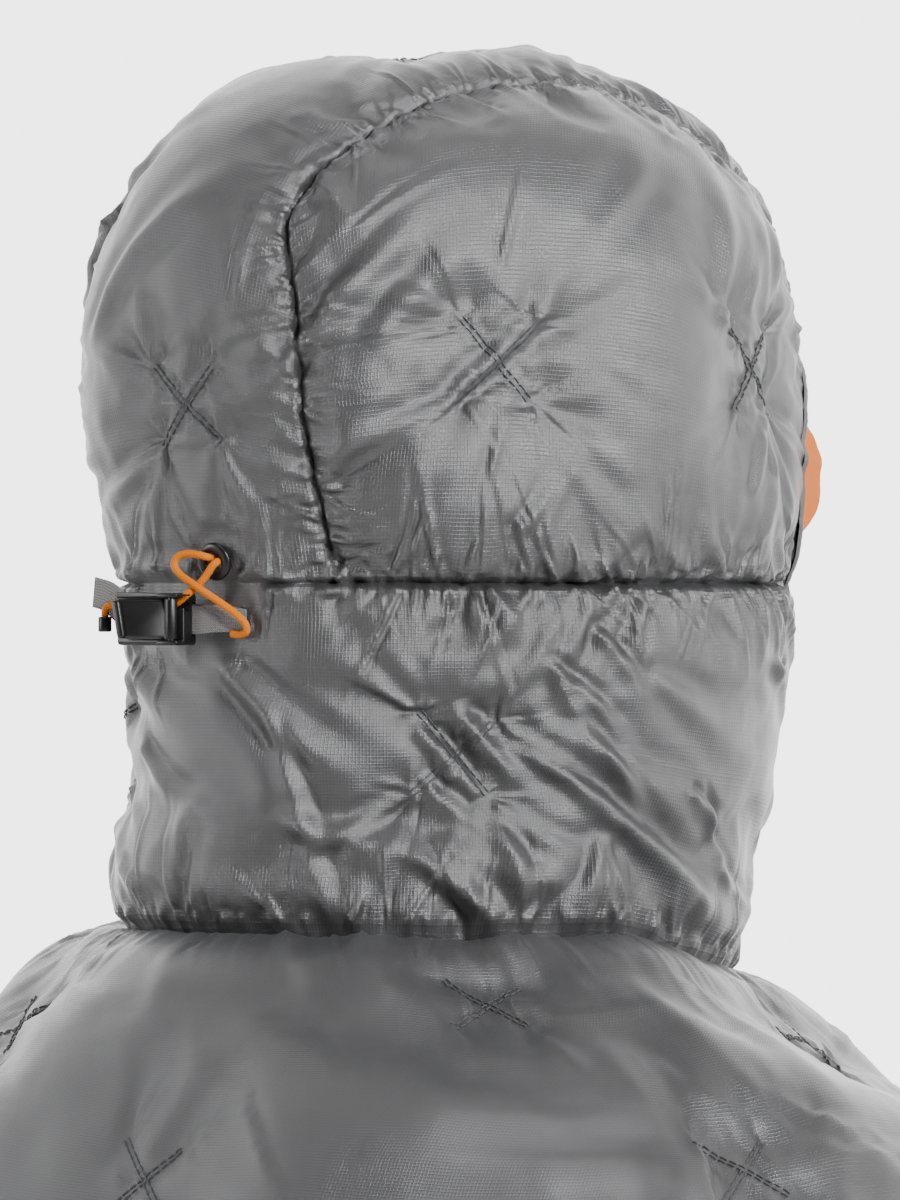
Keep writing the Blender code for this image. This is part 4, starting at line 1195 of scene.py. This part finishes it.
# zip coils
teeth = {"pitch": .0013, "tube": .00042, "length": 1.41, "turns": 14, "sides": 6}
count = int(teeth["length"] / teeth["pitch"])
coilMid = even(np.c_[np.zeros(len(zipPts)), zipPts], count)
coilAhead = unit(np.gradient(coilMid, axis=0))
coilOut = np.stack([0 * coilAhead[:, 0], coilAhead[:, 2], -coilAhead[:, 1]], 1)
loop = []
for k in range(teeth["turns"]):
    t = 2 * math.pi * k / teeth["turns"]
    loop.append((t, .00185 + .00088 * math.cos(t), .0010 + .00068 * math.sin(t),
                 teeth["pitch"] * .42 * math.sin(t / 2)))
for side, word in ((1, "left"), (-1, "right")):
    pts = []
    ringN = teeth["sides"]
    for middle, ahead, out in zip(coilMid, coilAhead, coilOut):
        for t, x, z, lead in loop:
            mid0 = middle + out * z + ahead * lead + np.array([side * x, 0, 0])
            dirOut = out * math.sin(t) + np.array([side * math.cos(t), 0, 0])
            for j in range(ringN):
                u = 2 * math.pi * j / ringN
                pts.append(mid0 + teeth["tube"] * (dirOut * math.cos(u) + ahead * math.sin(u)))
    baseIds = np.arange(count)[:, None, None] * teeth["turns"] * ringN
    kk, jj = np.meshgrid(np.arange(teeth["turns"]), np.arange(ringN), indexing="ij")
    kn, jn = (kk + 1) % teeth["turns"], (jj + 1) % ringN
    q = np.stack([kk * ringN + jj, kn * ringN + jj, kn * ringN + jn, kk * ringN + jn], -1)
    quads = (q[None] + baseIds[..., None]).reshape(-1, 4)
    coil = makeMesh("zip_teeth_" + word, pts, quads)
    coil.data.materials.append(plasticMat)
    coil.data.shade_smooth()
    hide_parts("zip_coil_" + word)
    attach(coil, "quilt")

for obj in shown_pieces():
    if obj.name.startswith(("zip_top_stop", "zip_foot_stop")):
        obj.data.materials.clear()
        obj.data.materials.append(steelMat)


# webbing with a ribbed weave
def stripMaterial(name, colour, ribs, rough):
    m, tree, b = newMaterial(name, colour, rough)
    along, down = uvParts(tree)
    rib = wave(tree, down, 2 * math.pi / ribs)
    cross = wave(tree, along, 2 * math.pi / (ribs * .9))
    checks = math2(tree, "MULTIPLY", math2(tree, "MULTIPLY", rib, cross), .5)
    height = math2(tree, "ADD", math2(tree, "MULTIPLY", rib, .5), checks)
    setTone(tree, b, colour, math2(tree, "ADD", math2(tree, "MULTIPLY", height, .16), 1.0))
    setBump(tree, b, height, .9, .0003)
    b.inputs["Sheen Weight"].default_value = .3
    return m


webMat = stripMaterial("ribbedWebbing", (.19, .18, .18), .00085, .75)


def curveThroughPoints(pts, n, per=24):
    p = [Vector(q) for q in pts]
    p = [2 * p[0] - p[1]] + p + [2 * p[-1] - p[-2]]
    fine = []
    for a, b, c, d in zip(p, p[1:], p[2:], p[3:]):
        for k in range(per):
            t = k / per
            fine.append(.5 * (2 * b + (c - a) * t + (2 * a - 5 * b + 4 * c - d) * t**2
                              + (3 * b - a - 3 * c + d) * t**3))
    fine.append(p[-2])
    return even([tuple(q) for q in fine], n)


webRoute = [(-.0016, -.0004, .0006), (.0010, -.0002, .0010), (.0045, 0, .0016), (.0090, .0002, .0030),
            (.0130, 0, .0043), (.0165, 0, .00435), (.0290, 0, .00435), (.0400, .0010, .00435),
            (.0440, .0040, .0046), (.0480, .0072, .0052), (.0530, .0088, .0060)]
webTilt = [0, 0, 0, 0, 0, 0, 0, -.06, -.22, -.16, .0]
web = curveThroughPoints(webRoute, 90)
tilt = np.interp(np.linspace(0, 1, 90), np.linspace(0, 1, len(webTilt)), webTilt)
ahead = unit(np.gradient(web, axis=0))
sideWay = unit(np.stack([-ahead[:, 1] * .35 + tilt, 0 * tilt + 1, 0 * tilt], 1))
narrowing = np.interp(np.linspace(0, 1, 90), [0, .12, .3, 1], [.72, .86, 1, 1])
rowsW = [web + sideWay * (u * .0049 * narrowing)[:, None] for u in np.linspace(-1, 1, 13)]
rowsW = np.array([[tuple(at(*p)) for p in row] for row in rowsW])
webbing = gridPiece("webbing_tab", rowsW, webMat)
mod = webbing.modifiers.new("thick", "SOLIDIFY")
mod.thickness = .0011
mod.offset = 0
bake(webbing)
webbing.data.shade_smooth()
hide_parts("adjuster_webbing")
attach(webbing, "quilt")


# elastic cords
def cordMaterial():
    # two sets of strands that wind round the cord in opposite ways
    colour = (.66, .17, .0005)
    m, tree, b = newMaterial("orangeElastic", colour, .55)
    around, along = uvParts(tree)
    strands = []
    for sgn in (1, -1):
        winding = math2(tree, "ADD", math2(tree, "MULTIPLY", around, 8 * 2 * math.pi),
                        math2(tree, "MULTIPLY", along, sgn * 2 * math.pi / .0016))
        strands.append(math2(tree, "SINE", winding))
    height = math2(tree, "MAXIMUM", strands[0], strands[1])
    setTone(tree, b, colour, math2(tree, "ADD", math2(tree, "MULTIPLY", height, .10), .95))
    setBump(tree, b, height, .6, .00015)
    b.inputs["Specular IOR Level"].default_value = .2
    return m


cordMat = cordMaterial()


def tubeAlong(name, path, radius, material, sides=20):
    # a closed tube with its UV map in turns and metres
    ahead = unit(np.gradient(path, axis=0))
    ref = np.cross(ahead[0], (0, 0, 1.0))
    if np.linalg.norm(ref) < .2:
        ref = np.cross(ahead[0], (1.0, 0, 0))
    pts, sideVecs = [], []
    for k, a in enumerate(ahead):
        ref = ref - a * np.dot(ref, a)
        ref /= np.linalg.norm(ref)
        sideVecs.append((ref.copy(), np.cross(a, ref)))
    n = len(path)
    length = runLength(path)
    for k, (right, up) in enumerate(sideVecs):
        for j in range(sides):
            t = 2 * math.pi * j / sides
            pts.append(path[k] + radius * (right * math.cos(t) + up * math.sin(t)))
    quads, uvs = [], []
    for k in range(n - 1):
        for j in range(sides):
            m = (j + 1) % sides
            quads.append((k * sides + j, k * sides + m, (k + 1) * sides + m, (k + 1) * sides + j))
            u0, u1 = j / sides, (j + 1) / sides
            uvs += [(u0, length[k]), (u1, length[k]), (u1, length[k + 1]), (u0, length[k + 1])]
    mesh = bpy.data.meshes.new(name)
    faces = quads + [tuple(range(sides))[::-1], tuple((n - 1) * sides + j for j in range(sides))]
    mesh.from_pydata([tuple(p) for p in pts], [], faces)
    layer = mesh.uv_layers.new(name="cloth")
    uvs += [(0, 0)] * (2 * sides)
    layer.data.foreach_set("uv", np.array(uvs).ravel())
    obj = bpy.data.objects.new(name, mesh)
    scene.collection.objects.link(obj)
    mesh.materials.append(material)
    mesh.shade_smooth()
    return obj


def overHood(x, y, z):
    return at(x, y, z + .0023 * min(1, max(0, (y - .006) / .013)))


def cordLength(path):
    return float(np.linalg.norm(np.diff(path, axis=0), axis=1).sum())


# from the eyelet over the lock to the webbing, and from the eyelet through the lock
upperRoute = [(.0098, .0198, .0004), (.0101, .0200, .0024), (.0126, .0208, .0040), (.0172, .0212, .0042),
              (.0206, .0200, .0046), (.0214, .0172, .0054), (.0186, .0142, .0064), (.0142, .0116, .0072),
              (.0096, .0088, .0074), (.0044, .0052, .0062), (-.0004, .0016, .0046), (-.0030, -.0014, .0034),
              (-.0030, -.0040, .0026), (-.0004, -.0050, .0021), (.0030, -.0047, .0018)]
lowerRoute = [(.0071, .0188, .0004), (.0071, .0184, .0026), (.0084, .0168, .0036), (.0108, .0136, .0042),
              (.0134, .0106, .0056), (.0160, .0080, .0080), (.0186, .0058, .0090), (.0212, .0045, .0086),
              (.0240, .0042, .0084), (.0330, .0042, .0084), (.0415, .0042, .0084), (.0447, .0045, .0084),
              (.0470, .0034, .0084), (.0474, .0008, .0084)]
upper = curveThroughPoints([overHood(*p) for p in upperRoute], 120)
lower = curveThroughPoints([overHood(*p) for p in lowerRoute], 140)
print("cord lengths", cordLength(upper), cordLength(lower))
upperCord = tubeAlong("elastic_upper", upper, cord["radius"], cordMat)
lowerCord = tubeAlong("elastic_lower", lower, cord["radius"], cordMat)
stopper = drum((.0474, .0008, .0084), (.0474, -.0042, .0084), .0022, 32, .0006)
finishPiece(stopper, "end_stopper", plasticMat, place, ["cord_end_stopper"], "quilt", 0)
for obj, nodeName in ((upperCord, "adjuster_cord_upper"), (lowerCord, "adjuster_cord_lower")):
    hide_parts(nodeName)
    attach(obj, "quilt")

# drawcord in the channel behind the gathered seam
channel = run[napeSeam] - baseNormals[napeSeam] * .0032
drawcord = tubeAlong("nape_elastic", even(channel, 220), cord["radius"], cordMat, 10)
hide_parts("nape_drawcord")
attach(drawcord, "quilt")
print("cords done")

# light, floor and camera
for obj in scene.objects:
    obj.select_set(False)
bpy.ops.mesh.primitive_plane_add(size=9, location=(0, 0, -1.362))
floor = bpy.context.object
floor.name = "floor"
floor.data.materials.append(newMaterial("paleFloor", (.82, .82, .82), .8)[0])

world = bpy.data.worlds.new("paleWorld")
scene.world = world
world.use_nodes = True
sky = world.node_tree.nodes["Background"]
skyCo = world.node_tree.nodes.new("ShaderNodeTexCoord")
toward = world.node_tree.nodes.new("ShaderNodeVectorMath")
toward.operation = "DOT_PRODUCT"
toward.inputs[1].default_value = (.766, -.643, 0)
world.node_tree.links.new(skyCo.outputs["Generated"], toward.inputs[0])
skyRamp = world.node_tree.nodes.new("ShaderNodeMapRange")
for key, val in {"From Min": .1, "From Max": .85, "To Min": .08, "To Max": 4.0}.items():
    skyRamp.inputs[key].default_value = val
world.node_tree.links.new(toward.outputs["Value"], skyRamp.inputs["Value"])
world.node_tree.links.new(skyRamp.outputs[0], sky.inputs["Strength"])
sky.inputs["Color"].default_value = (1, 1, 1, 1)


def softLight(name, where, aim, size, power):
    data = bpy.data.lights.new(name, "AREA")
    data.shape = "RECTANGLE"
    data.size, data.size_y = size
    data.energy = power
    lamp = bpy.data.objects.new(name, data)
    lamp.location = where
    lamp.rotation_euler = (Vector(aim) - Vector(where)).to_track_quat("-Z", "Y").to_euler()
    scene.collection.objects.link(lamp)


softLight("key", (-2.15, .35, 1.0), (0, 0, .12), (.3, .5), 66)
softLight("right", (-2.3, -.7, .5), (0, 0, .1), (.3, .9), 26)
softLight("top", (-.5, .7, 2.3), (0, 0, .12), (.5, .5), 14)
softLight("left", (1.0, 2.1, .45), (0, 0, .1), (.22, 1.3), 27)
softLight("front", (-1.5, -2.0, .5), (0, 0, .1), (.5, 1.0), 18)

az, away = math.radians(230), 3.2
camData = bpy.data.cameras.new("view")
camData.lens = 36 * away / .4
cam = bpy.data.objects.new("view", camData)
toCam = Vector((math.sin(az), -math.cos(az), 0))
cam.location = Vector((math.cos(az), math.sin(az), 0)) * .00233 + Vector((0, 0, .1057)) + toCam * away
cam.rotation_euler = (-toCam).to_track_quat("-Z", "Y").to_euler()
camData.clip_start = .05
scene.collection.objects.link(cam)
scene.camera = cam
print("stage done")
